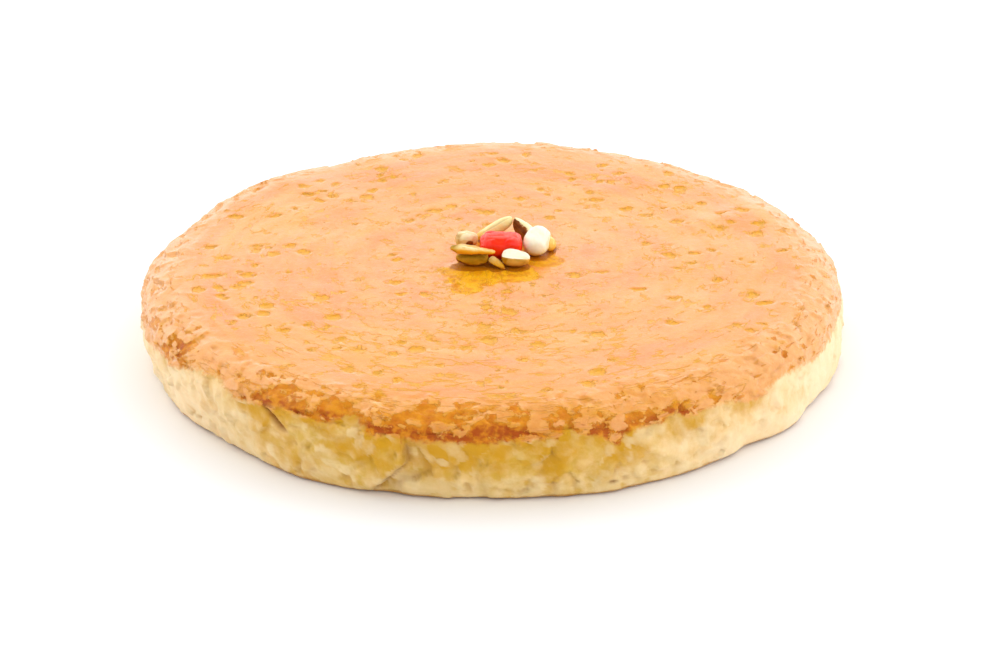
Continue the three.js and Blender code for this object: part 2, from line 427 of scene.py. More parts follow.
class Effects:
    """The surface effects that the finishes use, each made once as a node group.

    Attributes:
        seam_reach_mm: The distance from the middle where seams keep their shape.
        streak_reach_mm: The same for the streaks, which are longer everywhere.
    """

    seam_reach_mm = 42.0
    streak_reach_mm = 26.0

    def __init__(self) -> None:
        """Make the groups."""
        self.mottle = self._clouds("mottle", 3.0, 0.55, None)
        self.streaks = self._clouds("streaks", 4.0, 0.6, self.streak_reach_mm)
        self.ragged = self._ragged()
        self.grain = self._grain()
        self.seams = self._seams()

    @staticmethod
    def _start(name: str, inputs: dict[str, float], outputs: list[str]) -> tuple[Graph, Any, Any]:
        """Begin a group of plain number sockets.

        Args:
            name: The group's name.
            inputs: Input names and their usual values.
            outputs: Output names.

        Returns:
            The group's graph, its input node's outputs and its output node's inputs.
        """
        tree = bpy.data.node_groups.new(name, "ShaderNodeTree")
        for key, value in inputs.items():
            socket = tree.interface.new_socket(name=key, in_out="INPUT", socket_type="NodeSocketFloat")
            socket.default_value = value
        for key in outputs:
            tree.interface.new_socket(name=key, in_out="OUTPUT", socket_type="NodeSocketFloat")
        start, end = tree.nodes.new("NodeGroupInput"), tree.nodes.new("NodeGroupOutput")
        return Graph(tree), start.outputs, end.inputs

    def _clouds(self, name: str, detail: float, roughness: float,
                reach_mm: float | None) -> bpy.types.NodeTree:
        """Uneven colour: a factor from 0 to 1 in clouds of a given size.

        Args:
            name: The group's name.
            detail: How many finer steps the noise has.
            roughness: How strong they are.
            reach_mm: Where the clouds keep their shape, if they are drawn out round the cake.

        Returns:
            The group.
        """
        contrast_scale = 3.0
        inputs = {"Size": 10.0, "Contrast": 1.0, "Balance": 0.5}
        graph, given, out = self._start(name, inputs, ["Factor"])
        place = graph.place_round(reach_mm) if reach_mm else graph.place()
        spots = graph.spots(given["Size"], detail, roughness, place)
        spread = graph.times(graph.math("SUBTRACT", spots, 0.5), given["Contrast"])
        factor = graph.math("MULTIPLY_ADD", spread, contrast_scale, given["Balance"], clamp=True)
        graph.feed(out["Factor"], factor)
        return graph.tree

    def _ragged(self) -> bpy.types.NodeTree:
        """A region with a torn edge: Mask is 1 where a field is above 0, Edge is its thin border.

        Returns:
            The group.
        """
        inputs = {"Field": 0.0, "Softness": 0.05, "Tear": 0.2, "Size": 2.0}
        graph, given, out = self._start("ragged_edge", inputs, ["Mask", "Edge"])
        away = graph.math("SUBTRACT", graph.spots(given["Size"], 4.0, 0.6), 0.5)
        torn = graph.math("MULTIPLY_ADD", away, given["Tear"], given["Field"])
        low = graph.times(given["Softness"], -1.0)
        graph.feed(out["Mask"], graph.rise(torn, low, given["Softness"]))
        graph.feed(out["Edge"], graph.rise(graph.math("ABSOLUTE", torn), given["Softness"], 0.0))
        return graph.tree

    def _seams(self) -> bpy.types.NodeTree:
        """Broken wavy wrinkle lines: Line is 1 on a line, Spot where it swells to a dent.

        Returns:
            The group.
        """
        inputs = {"Size": 8.0, "Width": 0.04, "Share": 0.5, "Swell": 0.2}
        graph, given, out = self._start("seams", inputs, ["Line", "Spot"])
        drawn = graph.place_round(self.seam_reach_mm)
        # The lines run where a wave crosses its middle height, and show in patches.
        waves = graph.spots(given["Size"], 3.0, 0.6, drawn)
        off_line = graph.math("ABSOLUTE", graph.math("MULTIPLY_ADD", waves, 2.5, -1.25))
        limit = graph.math("MULTIPLY_ADD", given["Share"], -0.4, 0.7)
        patches = graph.rise(graph.spots(given["Size"], 2.0), limit, graph.math("ADD", limit, 0.08))
        graph.feed(out["Line"], graph.times(graph.rise(off_line, given["Width"], 0.0), patches))
        swells = graph.spots(graph.times(given["Size"], 0.6), 2.0, place=drawn)
        swell = graph.rise(swells, 0.52, 0.72, -0.06, given["Swell"])
        graph.feed(out["Spot"], graph.rise(graph.math("SUBTRACT", off_line, swell), 0.03, -0.03))
        return graph.tree

    def _grain(self) -> bpy.types.NodeTree:
        """The fine grain of baked coconut: a height in millimetres.

        Returns:
            The group.
        """
        graph, given, out = self._start("coconut_grain", {"Size": 2.0, "Height": 0.1}, ["Height"])
        spots = graph.spots(given["Size"], 5.0, 0.65)
        inputs = {"Vector": graph.place(), "Scale": graph.math("DIVIDE", 0.6 / MM, given["Size"])}
        shreds = graph.add("ShaderNodeTexVoronoi", inputs, feature="SMOOTH_F1").outputs["Distance"]
        mixed = graph.math("ADD", spots, graph.times(shreds, -0.5))
        graph.feed(out["Height"], graph.times(mixed, given["Height"]))
        return graph.tree


class Brush(Graph):
    """A new material's node tree, with the shared effects at hand."""

    def __init__(self, name: str, effects: Effects | None = None) -> None:
        """Start an empty material.

        Args:
            name: The material's name.
            effects: The shared node groups, where it uses them.
        """
        self.material = bpy.data.materials.new(name)
        self.material.use_nodes = True
        self.material.node_tree.nodes.clear()
        self.effects = effects
        super().__init__(self.material.node_tree)

    def mottle(self, size: float, contrast: float, balance: float) -> Socket:
        """Uneven colour from 0 to 1, in soft clouds."""
        return self.group(self.effects.mottle, Size=size, Contrast=contrast, Balance=balance).outputs[0]

    def streaks(self, size: float, contrast: float, balance: float) -> Socket:
        """Uneven colour from 0 to 1, in long streaks round the cake."""
        return self.group(self.effects.streaks, Size=size, Contrast=contrast, Balance=balance).outputs[0]

    def ragged(self, field: str, softness: float, tear: float, size: float) -> tuple[Socket, Socket]:
        """Where a field of the mesh is above 0, with a torn edge, and that edge by itself."""
        inputs = {"Field": self.read(field), "Softness": softness, "Tear": tear, "Size": size}
        return tuple(self.group(self.effects.ragged, **inputs).outputs)

    def mask(self, field: str, softness: float, tear: float, size: float) -> Socket:
        """Where a field of the mesh is above 0, with a torn edge."""
        return self.ragged(field, softness, tear, size)[0]

    def grain(self, size: float) -> Socket:
        """The fine grain of baked coconut, 1 millimetre high."""
        return self.group(self.effects.grain, Size=size, Height=1.0).outputs[0]

    def bump(self, height: Any, depth_mm: float, strength: float = 1.0) -> Socket:
        """A normal that follows a height."""
        inputs = {"Height": height, "Distance": depth_mm * MM, "Strength": strength}
        return self.add("ShaderNodeBump", inputs).outputs[0]

    def finish(self, **inputs: Any) -> bpy.types.Material:
        """Join a shader to the material's output.

        Args:
            **inputs: The shader's inputs, with _ for a space in a name.

        Returns:
            The finished material.
        """
        named = {key.replace("_", " "): value for key, value in inputs.items()}
        shader = self.add("ShaderNodeBsdfPrincipled", named)
        self.add("ShaderNodeOutputMaterial", {"Surface": shader.outputs[0]})
        return self.material


# ------------------------------------------------------------------ finishes


@dataclass(frozen=True)
class CakeFinish:
    """Colours of the moist side and of the browned, glazed top."""

    cream: Colour = (0.965, 0.745, 0.46)
    peach: Colour = (0.90, 0.56, 0.22)
    coconut: Colour = (0.91, 0.74, 0.45)
    syrup: Colour = (0.63, 0.31, 0.004)
    # Painted shade: these two darken the side towards the front.
    front_shade_patch: Colour = (0.66, 0.40, 0.05)
    front_shade: Colour = (0.79, 0.52, 0.17)
    # Painted shade in the side's creases and along its fold lines.
    moist: Colour = (0.62, 0.34, 0.06)
    # Painted shadow along the bottom edge.
    foot_shadow: Colour = (0.45, 0.20, 0.03)
    amber: Colour = (0.82, 0.225, 0.012)
    gold: Colour = (0.85, 0.32, 0.018)
    plate: Colour = (0.82, 0.38, 0.09)
    dark_plate: Colour = (0.76, 0.30, 0.05)
    hollow: Colour = (0.84, 0.37, 0.011)
    recess: Colour = (0.63, 0.185, 0.003)
    honey: Colour = (0.76, 0.29, 0.010)
    scorch: Colour = (0.42, 0.075, 0.001)
    # Flecks in the pits, and painted shade along the pits' edges.
    line: Colour = (0.62, 0.26, 0.005)
    # Painted shadow in the slit, in the holes and along the fold's edge.
    slit: Colour = (0.30, 0.09, 0.002)
    wisp: Colour = (0.70, 0.32, 0.002)
    pool: Colour = (0.87, 0.41, 0.003)
    pool_shade: Colour = (0.70, 0.24, 0.001)
    # Painted shadow round the feet of the toppings, where the top is wet.
    nest: Colour = (0.49, 0.155, 0.0005)

    def material(self, effects: Effects) -> bpy.types.Material:
        """Build the finish.

        Args:
            effects: The shared node groups.

        Returns:
            The material of the whole cake.
        """
        brush = Brush("glazed_macaroon", effects)
        hollow, hollow_edge = brush.ragged("hollow", softness=0.16, tear=3.0, size=2.8)
        crust = brush.mask("crust", softness=1.0, tear=4.0, size=2.2)
        nest = brush.mask("nest", softness=0.15, tear=1.2, size=1.5)
        pool = brush.mask("pool", softness=0.05, tear=0.9, size=7.0)
        share = brush.rise(brush.read("front"), 0.0, 1.0, 0.45, 0.8)
        line, spot = brush.group(effects.seams, Size=7.0, Width=0.12, Share=share, Swell=0.16).outputs
        sunken = brush.most(hollow, brush.times(spot, 0.8))

        top = self._top_colour(brush, sunken, hollow_edge, line)
        shade = brush.streaks(size=4.0, contrast=1.5, balance=0.3)
        top = brush.blend(pool, top, brush.blend(shade, self.pool, self.pool_shade))
        # Painted shadow round the feet of the toppings.
        top = brush.blend(nest, top, self.nest)
        colour = brush.blend(crust, self._side_colour(brush), top)

        cut = brush.times(brush.times(brush.most(line, sunken), -0.35), crust)
        height = brush.math("MULTIPLY_ADD", brush.grain(2.2), 0.5, cut)
        inputs = {"Vector": brush.place(), "Scale": 0.4 / MM, "Detail": 2.0}
        waves = brush.add("ShaderNodeTexNoise", inputs).outputs["Fac"]
        wet = brush.most(nest, pool)
        return brush.finish(
            Base_Color=colour, Roughness=0.42, Specular_IOR_Level=0.2,
            Coat_Weight=self._coat(brush, crust, sunken, wet, line, hollow_edge), Coat_Roughness=0.05,
            Coat_IOR=1.52, Coat_Normal=brush.bump(waves, depth_mm=0.10),
            Subsurface_Weight=0.12, Subsurface_Radius=(1.0, 0.5, 0.2), Subsurface_Scale=3.0 * MM,
            Normal=brush.bump(height, depth_mm=1.0, strength=0.8))

    @staticmethod
    def _coat(brush: Brush, crust: Socket, sunken: Socket, wet: Socket, line: Socket,
              edge: Socket) -> Socket:
        """The glaze: on the browned top, and thin where it ran off, soaked in or is torn.

        Args:
            brush: The material's graph.
            crust: Where the cake is browned.
            sunken: Where the top is pitted or broken.
            wet: Where syrup lies on it.
            line: The wrinkle lines.
            edge: The borders of the pits.

        Returns:
            The weight of the shader's coat.
        """
        sunk = brush.times(sunken, brush.rise(brush.read("rim"), 0.0, 1.0, 0.7, 1.0))
        bare = brush.most(sunk, brush.times(wet, 0.98), brush.times(line, 0.82), brush.times(edge, 0.9))
        patchy = brush.streaks(size=5.0, contrast=1.0, balance=0.45)
        glaze = brush.times(brush.math("SUBTRACT", 1.0, bare), brush.rise(patchy, 0.0, 1.0, 1.0, 0.72))
        # Seen along the top, a real glaze is too rough to mirror the whole sky.
        facing = brush.add("ShaderNodeLayerWeight", {"Blend": 0.5}).outputs["Facing"]
        glaze = brush.times(glaze, brush.rise(facing, 0.70, 0.95, 1.0, 0.22))
        return brush.times(brush.rise(crust, 0.0, 1.0, 0.04, 1.0), glaze)

    def _top_colour(self, brush: Brush, sunken: Socket, edge: Socket, line: Socket) -> Socket:
        """The browned top: gold to amber, in paler plates at the rim, deeper where it is sunken, with
        painted shade along the pits' edges.

        Args:
            brush: The material's graph.
            sunken: Where the top is pitted or broken.
            edge: The borders of the pits.
            line: The wrinkle lines.

        Returns:
            The colour.
        """
        rim = brush.read("rim")
        small = brush.mottle(size=3.0, contrast=1.0, balance=0.4)
        specks = brush.mottle(size=3.2, contrast=1.1, balance=0.42)
        flecks = brush.mottle(size=1.5, contrast=2.0, balance=0.3)
        scorch = brush.mask("scorch", softness=0.6, tear=2.2, size=5.0)
        broad = brush.streaks(size=14.0, contrast=1.0, balance=0.5)
        top = brush.blend(broad, self.gold, self.amber)
        top = brush.blend(brush.times(rim, 0.9), top, brush.blend(small, self.plate, self.dark_plate))
        top = brush.blend(brush.times(scorch, 0.35), top, self.recess)
        faint = brush.times(brush.rise(brush.read("hollow"), -0.45, 0.05), 0.5)
        top = brush.blend(faint, top, self.hollow)

        in_pit = brush.blend(brush.times(flecks, 0.7), self.hollow, self.line)
        deep = brush.blend(rim, in_pit, brush.blend(specks, self.recess, self.honey))
        dark = brush.times(scorch, brush.rise(specks, 0.9, 0.1, 0.15, 1.0))
        top = brush.blend(sunken, top, brush.blend(dark, deep, self.scorch))
        top = brush.blend(brush.times(line, brush.rise(rim, 0.3, 1.0, 0.85, 0.2)), top, self.wisp)
        # Painted shade: a thin darker line along the pits' edges.
        outline = brush.times(brush.rise(small, 0.2, 0.6), brush.rise(rim, 0.0, 1.0, 0.9, 0.35))
        return brush.blend(brush.times(edge, outline), top, self.line)

    def _side_colour(self, brush: Brush) -> Socket:
        """The moist side: cream, with painted shade that darkens it in front and in its creases, syrupy
        yellow patches and paler coconut.

        Args:
            brush: The material's graph.

        Returns:
            The colour.
        """
        front = brush.read("front")
        damp = brush.mask("damp", softness=0.8, tear=1.6, size=5.0)
        pale = brush.mask("pale", softness=0.8, tear=0.8, size=2.2)
        foot = brush.mask("foot", softness=0.5, tear=1.2, size=3.0)
        broad = brush.times(brush.mottle(size=16.0, contrast=1.0, balance=0.4),
                            brush.rise(front, 0.0, 1.0, 0.5, 1.0))
        shaded_front = brush.rise(front, 0.2, 1.0, 0.0, 0.95)
        patchy = brush.times(brush.mottle(size=6.0, contrast=1.6, balance=0.58), shaded_front)
        folds = brush.group(brush.effects.seams, Size=7.0, Width=0.07, Share=0.8, Swell=0.0).outputs[0]
        side = self.cream
        # Painted shade: towards the front the side is blended to darker colours in patches, and its broad
        # mottle is stronger there.
        for share, colour in (
                (broad, self.peach),
                (brush.rise(front, 0.22, 0.95, 0.0, 0.9), self.front_shade),
                (patchy, self.front_shade_patch),
                (brush.times(damp, 0.96), self.syrup),
                (brush.times(pale, 0.5), self.coconut),
                # Painted shade in the creases and along the fold lines.
                (brush.times(brush.read("crease"), 0.7), self.moist),
                (brush.times(folds, brush.rise(shaded_front, 0.0, 0.9, 0.03, 0.15)), self.moist),
                # Painted shadow along the bottom edge.
                (brush.times(foot, 0.8), self.foot_shadow),
                # Painted shadow in the slit, in the holes and along the fold's edge.
                (brush.read("slit"), self.slit)):
            side = brush.blend(share, side, colour)
        return side


@dataclass(frozen=True)
class KernelFinish:
    """Colours of the pistachio kernels under their thin glaze."""

    ivory: Colour = (0.99, 0.95, 0.74)
    cream: Colour = (0.97, 0.80, 0.34)
    tan: Colour = (0.74, 0.42, 0.09)
    leaf: Colour = (0.56, 0.31, 0.012)
    olive: Colour = (0.32, 0.15, 0.002)
    # Brown skin, made dark enough to stand also for painted shade on the kernels' shaded flanks.
    skin: Colour = (0.13, 0.022, 0.001)
    worn_skin: Colour = (0.40, 0.13, 0.015)
    # Golden lower parts: syrup glaze and painted warm shade.
    gilt_shade: Colour = (0.84, 0.42, 0.012)
    # Dark brown at a kernel's foot: syrup soaked in and painted contact shade.
    soaked: Colour = (0.52, 0.17, 0.002)

    def material(self, effects: Effects) -> bpy.types.Material:
        """Build the finish.

        Args:
            effects: The shared node groups.

        Returns:
            The material that all the kernels share.
        """
        brush = Brush("pistachio_kernel", effects)
        clouds = brush.times(brush.mottle(size=1.4, contrast=1.2, balance=0.5), 0.35)
        fibres = brush.math("MULTIPLY_ADD", brush.read("fibre"), 0.65, clouds)
        skin = brush.mask("skin", softness=0.12, tear=0.7, size=1.2)
        gilt_and_shade = brush.mask("gilt_and_shade", softness=0.7, tear=0.9, size=2.0)
        tan = brush.times(brush.read("tan"), brush.rise(fibres, 0.25, 0.75, 0.35, 1.3), clamp=True)
        green = brush.times(brush.read("green"), brush.rise(fibres, 0.0, 1.0, 0.9, 1.3), clamp=True)
        # Painted highlight and shade: ivory where the pale share is high, on a kernel's upward side, and
        # creamier below.
        colour = brush.blend(brush.rise(brush.read("pale"), 0.0, 1.0), self.cream, self.ivory)
        for share, over in (
                (tan, self.tan),
                (green, brush.blend(brush.times(green, fibres), self.leaf, self.olive)),
                (brush.mask("cut", softness=0.12, tear=0.3, size=1.0), self.ivory),
                (brush.times(brush.read("crease"), 0.5), self.olive),
                # Golden lower part: syrup glaze and painted warm shade.
                (brush.times(gilt_and_shade, brush.rise(green, 0.0, 1.0, 1.0, 0.3)), self.gilt_shade),
                (skin, brush.blend(brush.times(fibres, 0.7), self.skin, self.worn_skin)),
                # Dark brown at the foot: syrup soaked in and painted contact shade.
                (brush.mask("soak", softness=0.4, tear=0.5, size=1.2), self.soaked)):
            colour = brush.blend(share, colour, over)
        stained_and_shaded = brush.most(skin, gilt_and_shade, green)
        return brush.finish(
            Base_Color=colour, Roughness=0.45, Specular_IOR_Level=0.1,
            Coat_Weight=brush.rise(stained_and_shaded, 0.0, 1.0, 0.3, 0.0), Coat_Roughness=0.1,
            Subsurface_Weight=0.4, Subsurface_Radius=(1.0, 0.9, 0.55), Subsurface_Scale=2.5 * MM,
            Normal=brush.bump(brush.grain(0.9), depth_mm=0.18, strength=0.6))


@dataclass(frozen=True)
class CherryFinish:
    """Colours of the candied cherry."""

    red: Colour = (0.97, 0.035, 0.001)
    deep: Colour = (0.90, 0.012, 0.001)

    def material(self, effects: Effects) -> bpy.types.Material:
        """Build the finish.

        Args:
            effects: The shared node groups.

        Returns:
            The material of the cherry.
        """
        brush = Brush("candied_cherry", effects)
        colour = brush.blend(brush.mottle(size=4.0, contrast=1.0, balance=0.35), self.red, self.deep)
        return brush.finish(
            Base_Color=colour, Roughness=0.35, Specular_IOR_Level=0.1,
            Coat_Weight=0.45, Coat_Roughness=0.08, Coat_IOR=1.5,
            Subsurface_Weight=0.2, Subsurface_Radius=(1.0, 0.05, 0.02), Subsurface_Scale=2.5 * MM,
            Normal=brush.bump(brush.grain(1.6), depth_mm=0.2, strength=0.5))


# ------------------------------------------------------------------ the cake


@dataclass
class Surface:
    """The cake's smooth skin before its relief, all in millimetres.

    Attributes:
        points: Places, (n, 3).
        normals: Outward directions, (n, 3).
        angle: Direction from the middle, in radians.
        reach: Distance from the middle.
        fall: 0 on the top, rising to 1 down the shoulder, and 1 on the side.
        down: Distance down the skin from where the shoulder begins, below 0 on the top.
    """

    points: Array
    normals: Array
    angle: Array
    reach: Array
    fall: Array
    down: Array

    def wrap(self, radius: float, stretch: float) -> Array:
        """The skin round a cylinder, where a pattern becomes stretch times longer round the cake."""
        round_it = radius / stretch
        return np.stack([round_it * np.cos(self.angle), round_it * np.sin(self.angle), self.down], axis=1)


@dataclass(frozen=True)
class Bump:
    """One bump or dent round the outline: its direction and half width in degrees, and its size."""

    at: float
    half_width: float
    size: float


@dataclass(frozen=True)
class Patch:
    """One patch on the side: its direction and height, their half widths, and its strength."""

    at: float
    height: float
    half_width: float
    half_height: float
    strength: float


@dataclass(frozen=True)
class Wave:
    """One soft unevenness: its noise, and its size and height in millimetres."""

    seed: int
    size: float
    height: float


def sum_bumps(angle: Array, bumps: tuple[Bump, ...]) -> Array:
    """The sum of some bumps at each direction, in radians."""
    return sum((bump.size * angle_bell(angle, bump.at, bump.half_width) for bump in bumps),
               np.zeros(len(angle)))


def sum_patches(skin: Surface, patches: tuple[Patch, ...]) -> Array:
    """The sum of some patches at each point."""
    return sum((patch.strength * angle_bell(skin.angle, patch.at, patch.half_width)
                * bell(skin.points[:, 2], patch.height, patch.half_height) for patch in patches),
               np.zeros(len(skin.points)))


@dataclass
class Cake:
    """The whole cake: its outline, profile and relief. Lengths are in millimetres.

    The number in each Noise() is a seed, one for each pattern. The plates and their tilts share
    one, so that the tilts end at the seams.
    """

    toppings: tuple[str, ...]
    # The middles of the top and of the foot, which stands a little to the right of it.
    top_middle: tuple[float, float] = (-0.84, -0.11)
    foot_middle: tuple[float, float] = (1.56, -0.11)
    relief_room: float = 1.5
    crest_room: float = 0.5
    seat_gap: float = 0.3
    seat_radius: float = 26.0
    shoulder_height: float = 8.5
    shoulder_width: float = 17.0
    bulge: float = 1.1
    foot_round: float = 2.2
    # How finely the top, the shoulder, the side and the round of the foot are divided.
    cells: int = 210
    shoulder_rows: int = 34
    side_rows: int = 24
    foot_rows: int = 5
    # Where it is browned most and its side is painted darker as shade, and where its side is smoothest, in
    # degrees.
    front: float = -97.0
    front_half_width: float = 42.0
    smooth_side: float = -22.0
    smooth_half_width: float = 44.0
    # The top is calm between these distances from its middle, and its rim begins at these shares.
    calm_reach: tuple[float, float] = (14.0, 40.0)
    rim_shares: tuple[float, float] = (0.84, 0.93)
    top_waves: tuple[Wave, ...] = (
        Wave(1, 36.0, 0.36), Wave(2, 15.0, 0.16), Wave(3, 5.5, 0.05), Wave(4, 2.6, 0.025))
    ripple_size: float = 3.6
    ripple_height: float = 0.16
    pit_size: float = 7.0
    pit_radius: float = 0.38
    pit_depth: float = 0.5
    plate_size: float = 5.6
    plate_tilt: float = 0.16
    crumb_size: float = 2.4
    facet_size: float = 7.5
    facet_slope: float = 0.30
    lump_size: float = 3.4
    lump_height: float = 0.55
    hole_depth: float = 1.2
    foot_shadow_height: float = 1.4
    # The fold in the front of the side: its direction, the height below which it leans to the left,
    # how much lower it has leant all the way and by how many degrees, and how far its left side
    # stands out and its right side lies in.
    fold_at: float = -102.8
    fold_bend_height: float = 14.5
    fold_bend_drop: float = 13.5
    fold_lean: float = 6.2
    fold_rise: float = 2.1
    fold_dent: float = 2.4
    # The slit to its left: its direction at this height, its lean in degrees a millimetre down, and
    # its depth.
    slit_at: float = -125.6
    slit_height: float = 24.6
    slit_lean: float = 0.6
    slit_depth: float = 1.8
    # The wet rings round the toppings, painted dark as their shadow, all lie within this distance of the
    # middle.
    middle_reach: float = 60.0
    nest_ridge: float = 0.3
    # How far the wet ring of painted shadow round a topping reaches past it to the side and to the front,
    # and how far it is moved to the front, where its shadow falls.
    nest_reach: tuple[float, float] = (0.3, 1.3)
    nest_shift: tuple[float, float] = (0.0, 0.9)
    rim_bumps: tuple[Bump, ...] = (
        Bump(178, 9, 0.6), Bump(160, 6, -1.6), Bump(137, 7, 1.8), Bump(122, 5, -1.8),
        Bump(112, 4, -1.6), Bump(90, 14, 1.0), Bump(79, 2.5, 1.2), Bump(56, 8, -1.0),
        Bump(40, 6, -1.2), Bump(24, 8, -0.8), Bump(2, 8, 0.8), Bump(-45, 10, 0.5),
        Bump(-120, 8, 0.6), Bump(-150, 8, 0.3))
    foot_bumps: tuple[Bump, ...] = (
        Bump(-138, 4, -0.8), Bump(-119, 6, 1.1), Bump(-105, 3, -0.7), Bump(-92, 6, -0.6),
        Bump(-72, 6, 0.8), Bump(-49, 3, -1.2), Bump(-39, 3, 1.2), Bump(-31, 4, -0.8))
    # Where the edge of the foot lifts off what it stands on.
    foot_lifts: tuple[Bump, ...] = (
        Bump(-139, 4, 0.8), Bump(-131, 4, 0.4), Bump(-105, 3, 0.4), Bump(-92, 5, 0.7),
        Bump(-84, 2, 0.3), Bump(-50, 4, 1.3), Bump(-31, 5, 0.6), Bump(-15, 8, 0.9), Bump(20, 9, 0.7),
        Bump(60, 7, 0.8), Bump(95, 6, 0.5), Bump(130, 8, 1.0), Bump(165, 7, 0.6), Bump(-165, 6, 0.6))
    # Where the rim stands higher than elsewhere.
    rim_lifts: tuple[Bump, ...] = (
        Bump(92, 26, 1.3), Bump(55, 7, 1.0), Bump(113, 5, 0.8), Bump(137, 6, 0.9), Bump(20, 6, 1.1),
        Bump(150, 5, 0.5))
    # Where the brown of the top ends on the side, up or down from its usual height.
    edge_height: float = 22.2
    edge_bumps: tuple[Bump, ...] = (
        Bump(-160, 7, -4.0), Bump(-149, 4, -1.5), Bump(-138, 6, 3.6), Bump(-120, 7, 2.4),
        Bump(-111, 2.5, 4.5), Bump(-79.2, 1.0, 4.0), Bump(-72.6, 1.4, -4.6), Bump(-62.6, 1.0, 2.4),
        Bump(-48, 4, -3.6), Bump(-29, 9, -3.6), Bump(-8, 12, -4.5), Bump(25, 9, -2.0),
        Bump(70, 6, 1.5), Bump(110, 9, -2.5), Bump(150, 8, -1.5))
    # Where syrup soaked through to the side.
    soaks: tuple[Patch, ...] = (
        Patch(-86, 17, 12, 7, 1.3), Patch(-70, 16, 5, 6, 1.0), Patch(-108, 14, 9, 8, 0.8),
        Patch(-128, 15, 5, 6, 0.7), Patch(-58, 17, 6, 5, 0.8), Patch(-40, 14, 6, 6, 0.4),
        Patch(60, 16, 12, 6, 0.8), Patch(130, 16, 14, 6, 0.8), Patch(10, 15, 8, 6, 0.5))
    # Where the browned shoulder is broken open, and where the side has small holes.
    breaks: tuple[Patch, ...] = (
        Patch(-148, 27, 3.0, 3.5, 2.2), Patch(-151, 24, 1.5, 2.0, 1.5), Patch(-113, 25, 3, 3, 1.5),
        Patch(-62, 24, 2.5, 3.5, 1.8), Patch(-90, 26, 3.5, 2.0, 1.6),
        Patch(-99, 28.5, 3.0, 1.2, 2.0), Patch(-38, 27, 4, 3, 1.0), Patch(-124, 27, 6, 3.5, 1.3),
        Patch(140, 26, 5, 3, 1.5), Patch(60, 26, 5, 3, 1.2))
    holes: tuple[Patch, ...] = (
        Patch(-73.8, 4.9, 0.6, 0.7, 1.0), Patch(-71.9, 5.3, 0.5, 0.6, 0.8),
        Patch(-68.6, 9.5, 0.5, 0.5, 0.5), Patch(48, 6.0, 0.6, 0.8, 1.0), Patch(152, 7.0, 0.6, 0.7, 0.9))
    coconut_shows: tuple[Patch, ...] = (
        Patch(-103.0, 5.0, 2.2, 5.0, 1.0), Patch(-97.0, 3.0, 4.0, 3.0, 0.6),
        Patch(-84.0, 3.5, 7.0, 3.5, 0.5), Patch(-68.0, 20.0, 3.0, 2.0, 0.8),
        Patch(-61.0, 13.0, 1.5, 3.0, 0.7))
    # The golden syrup on the top, in front of the toppings: x, y and half sizes.
    pools: tuple[tuple[float, float, float, float], ...] = (
        (-3.5, -14.0, 16.0, 11.5), (-9.5, -27.0, 6.0, 6.0), (20.5, -4.0, 7.0, 6.0),
        (9.0, -16.0, 8.0, 8.0))

    def build(self) -> bpy.types.Object:
        """Make the cake's mesh.

        Returns:
            The mesh object, with the fields that its finish reads.
        """
        low, high = node_box("cake")
        self.rim_radius = float(np.mean((high - low)[:2])) / 2.0 - self.relief_room
        self.crest = float(high[2]) - self.crest_room
        self.seat = float(node_box("cherry")[0][2]) - self.seat_gap

        skin, faces = self._skin()
        push, fields = self._relief(skin)
        points = skin.points + skin.normals * push[:, None]
        points[:, 2] = np.maximum(points[:, 2], 0.0)
        return make_mesh("macaroon_cake", points, faces, fields)

    # -- the smooth skin

    def outline(self, angle: Array) -> Array:
        """The radius at the shoulder for each direction."""
        return self.rim_radius + sum_bumps(angle, self.rim_bumps)

    def top_height(self, reach: Array, angle: Array) -> Array:
        """The height of the dished top.

        Args:
            reach: Distances from its middle.
            angle: Directions in radians.

        Returns:
            The height at each place.
        """
        edge = self.rim_radius - self.shoulder_width
        rise = smoothstep(reach, self.seat_radius, edge)
        lift = sum_bumps(angle, self.rim_lifts) * smoothstep(reach, 0.5 * edge, edge)
        return self.seat + (self.crest - self.seat) * rise + lift

    def _skin(self) -> tuple[Surface, list[tuple[int, ...]]]:
        """Lay out the skin: a square net drawn round for the top, then rings down to the foot.

        Returns:
            The smooth skin and its faces.
        """
        top, angle_top, reach, net = self._top_net()
        # The net's border, anticlockwise from its lower right corner.
        border = np.concatenate([net[-1, :-1], net[:0:-1, -1], net[0, :0:-1], net[:-1, 0]])
        turn = -math.pi / 4 + 2.0 * math.pi * np.arange(len(border)) / len(border)
        down = reach - (self.outline(angle_top) - self.shoulder_width)
        upward = np.tile((0.0, 0.0, 1.0), (len(top), 1))
        parts = [(top, upward, angle_top, reach, np.zeros(len(top)), down)]
        corners = (net[:-1, :-1], net[1:, :-1], net[1:, 1:], net[:-1, 1:])
        cells = np.stack([corner.ravel() for corner in corners], axis=1)
        faces: list[tuple[int, ...]] = [tuple(face) for face in cells.tolist()]
        before, start = border, len(top)
        for ring in self._rings(turn):
            parts.append(ring)
            numbers = start + np.arange(len(turn))
            faces += ring_faces(before, numbers)
            before, start = numbers, start + len(turn)
        faces.append(tuple(before[::-1].tolist()))
        return Surface(*(np.concatenate(column) for column in zip(*parts))), faces

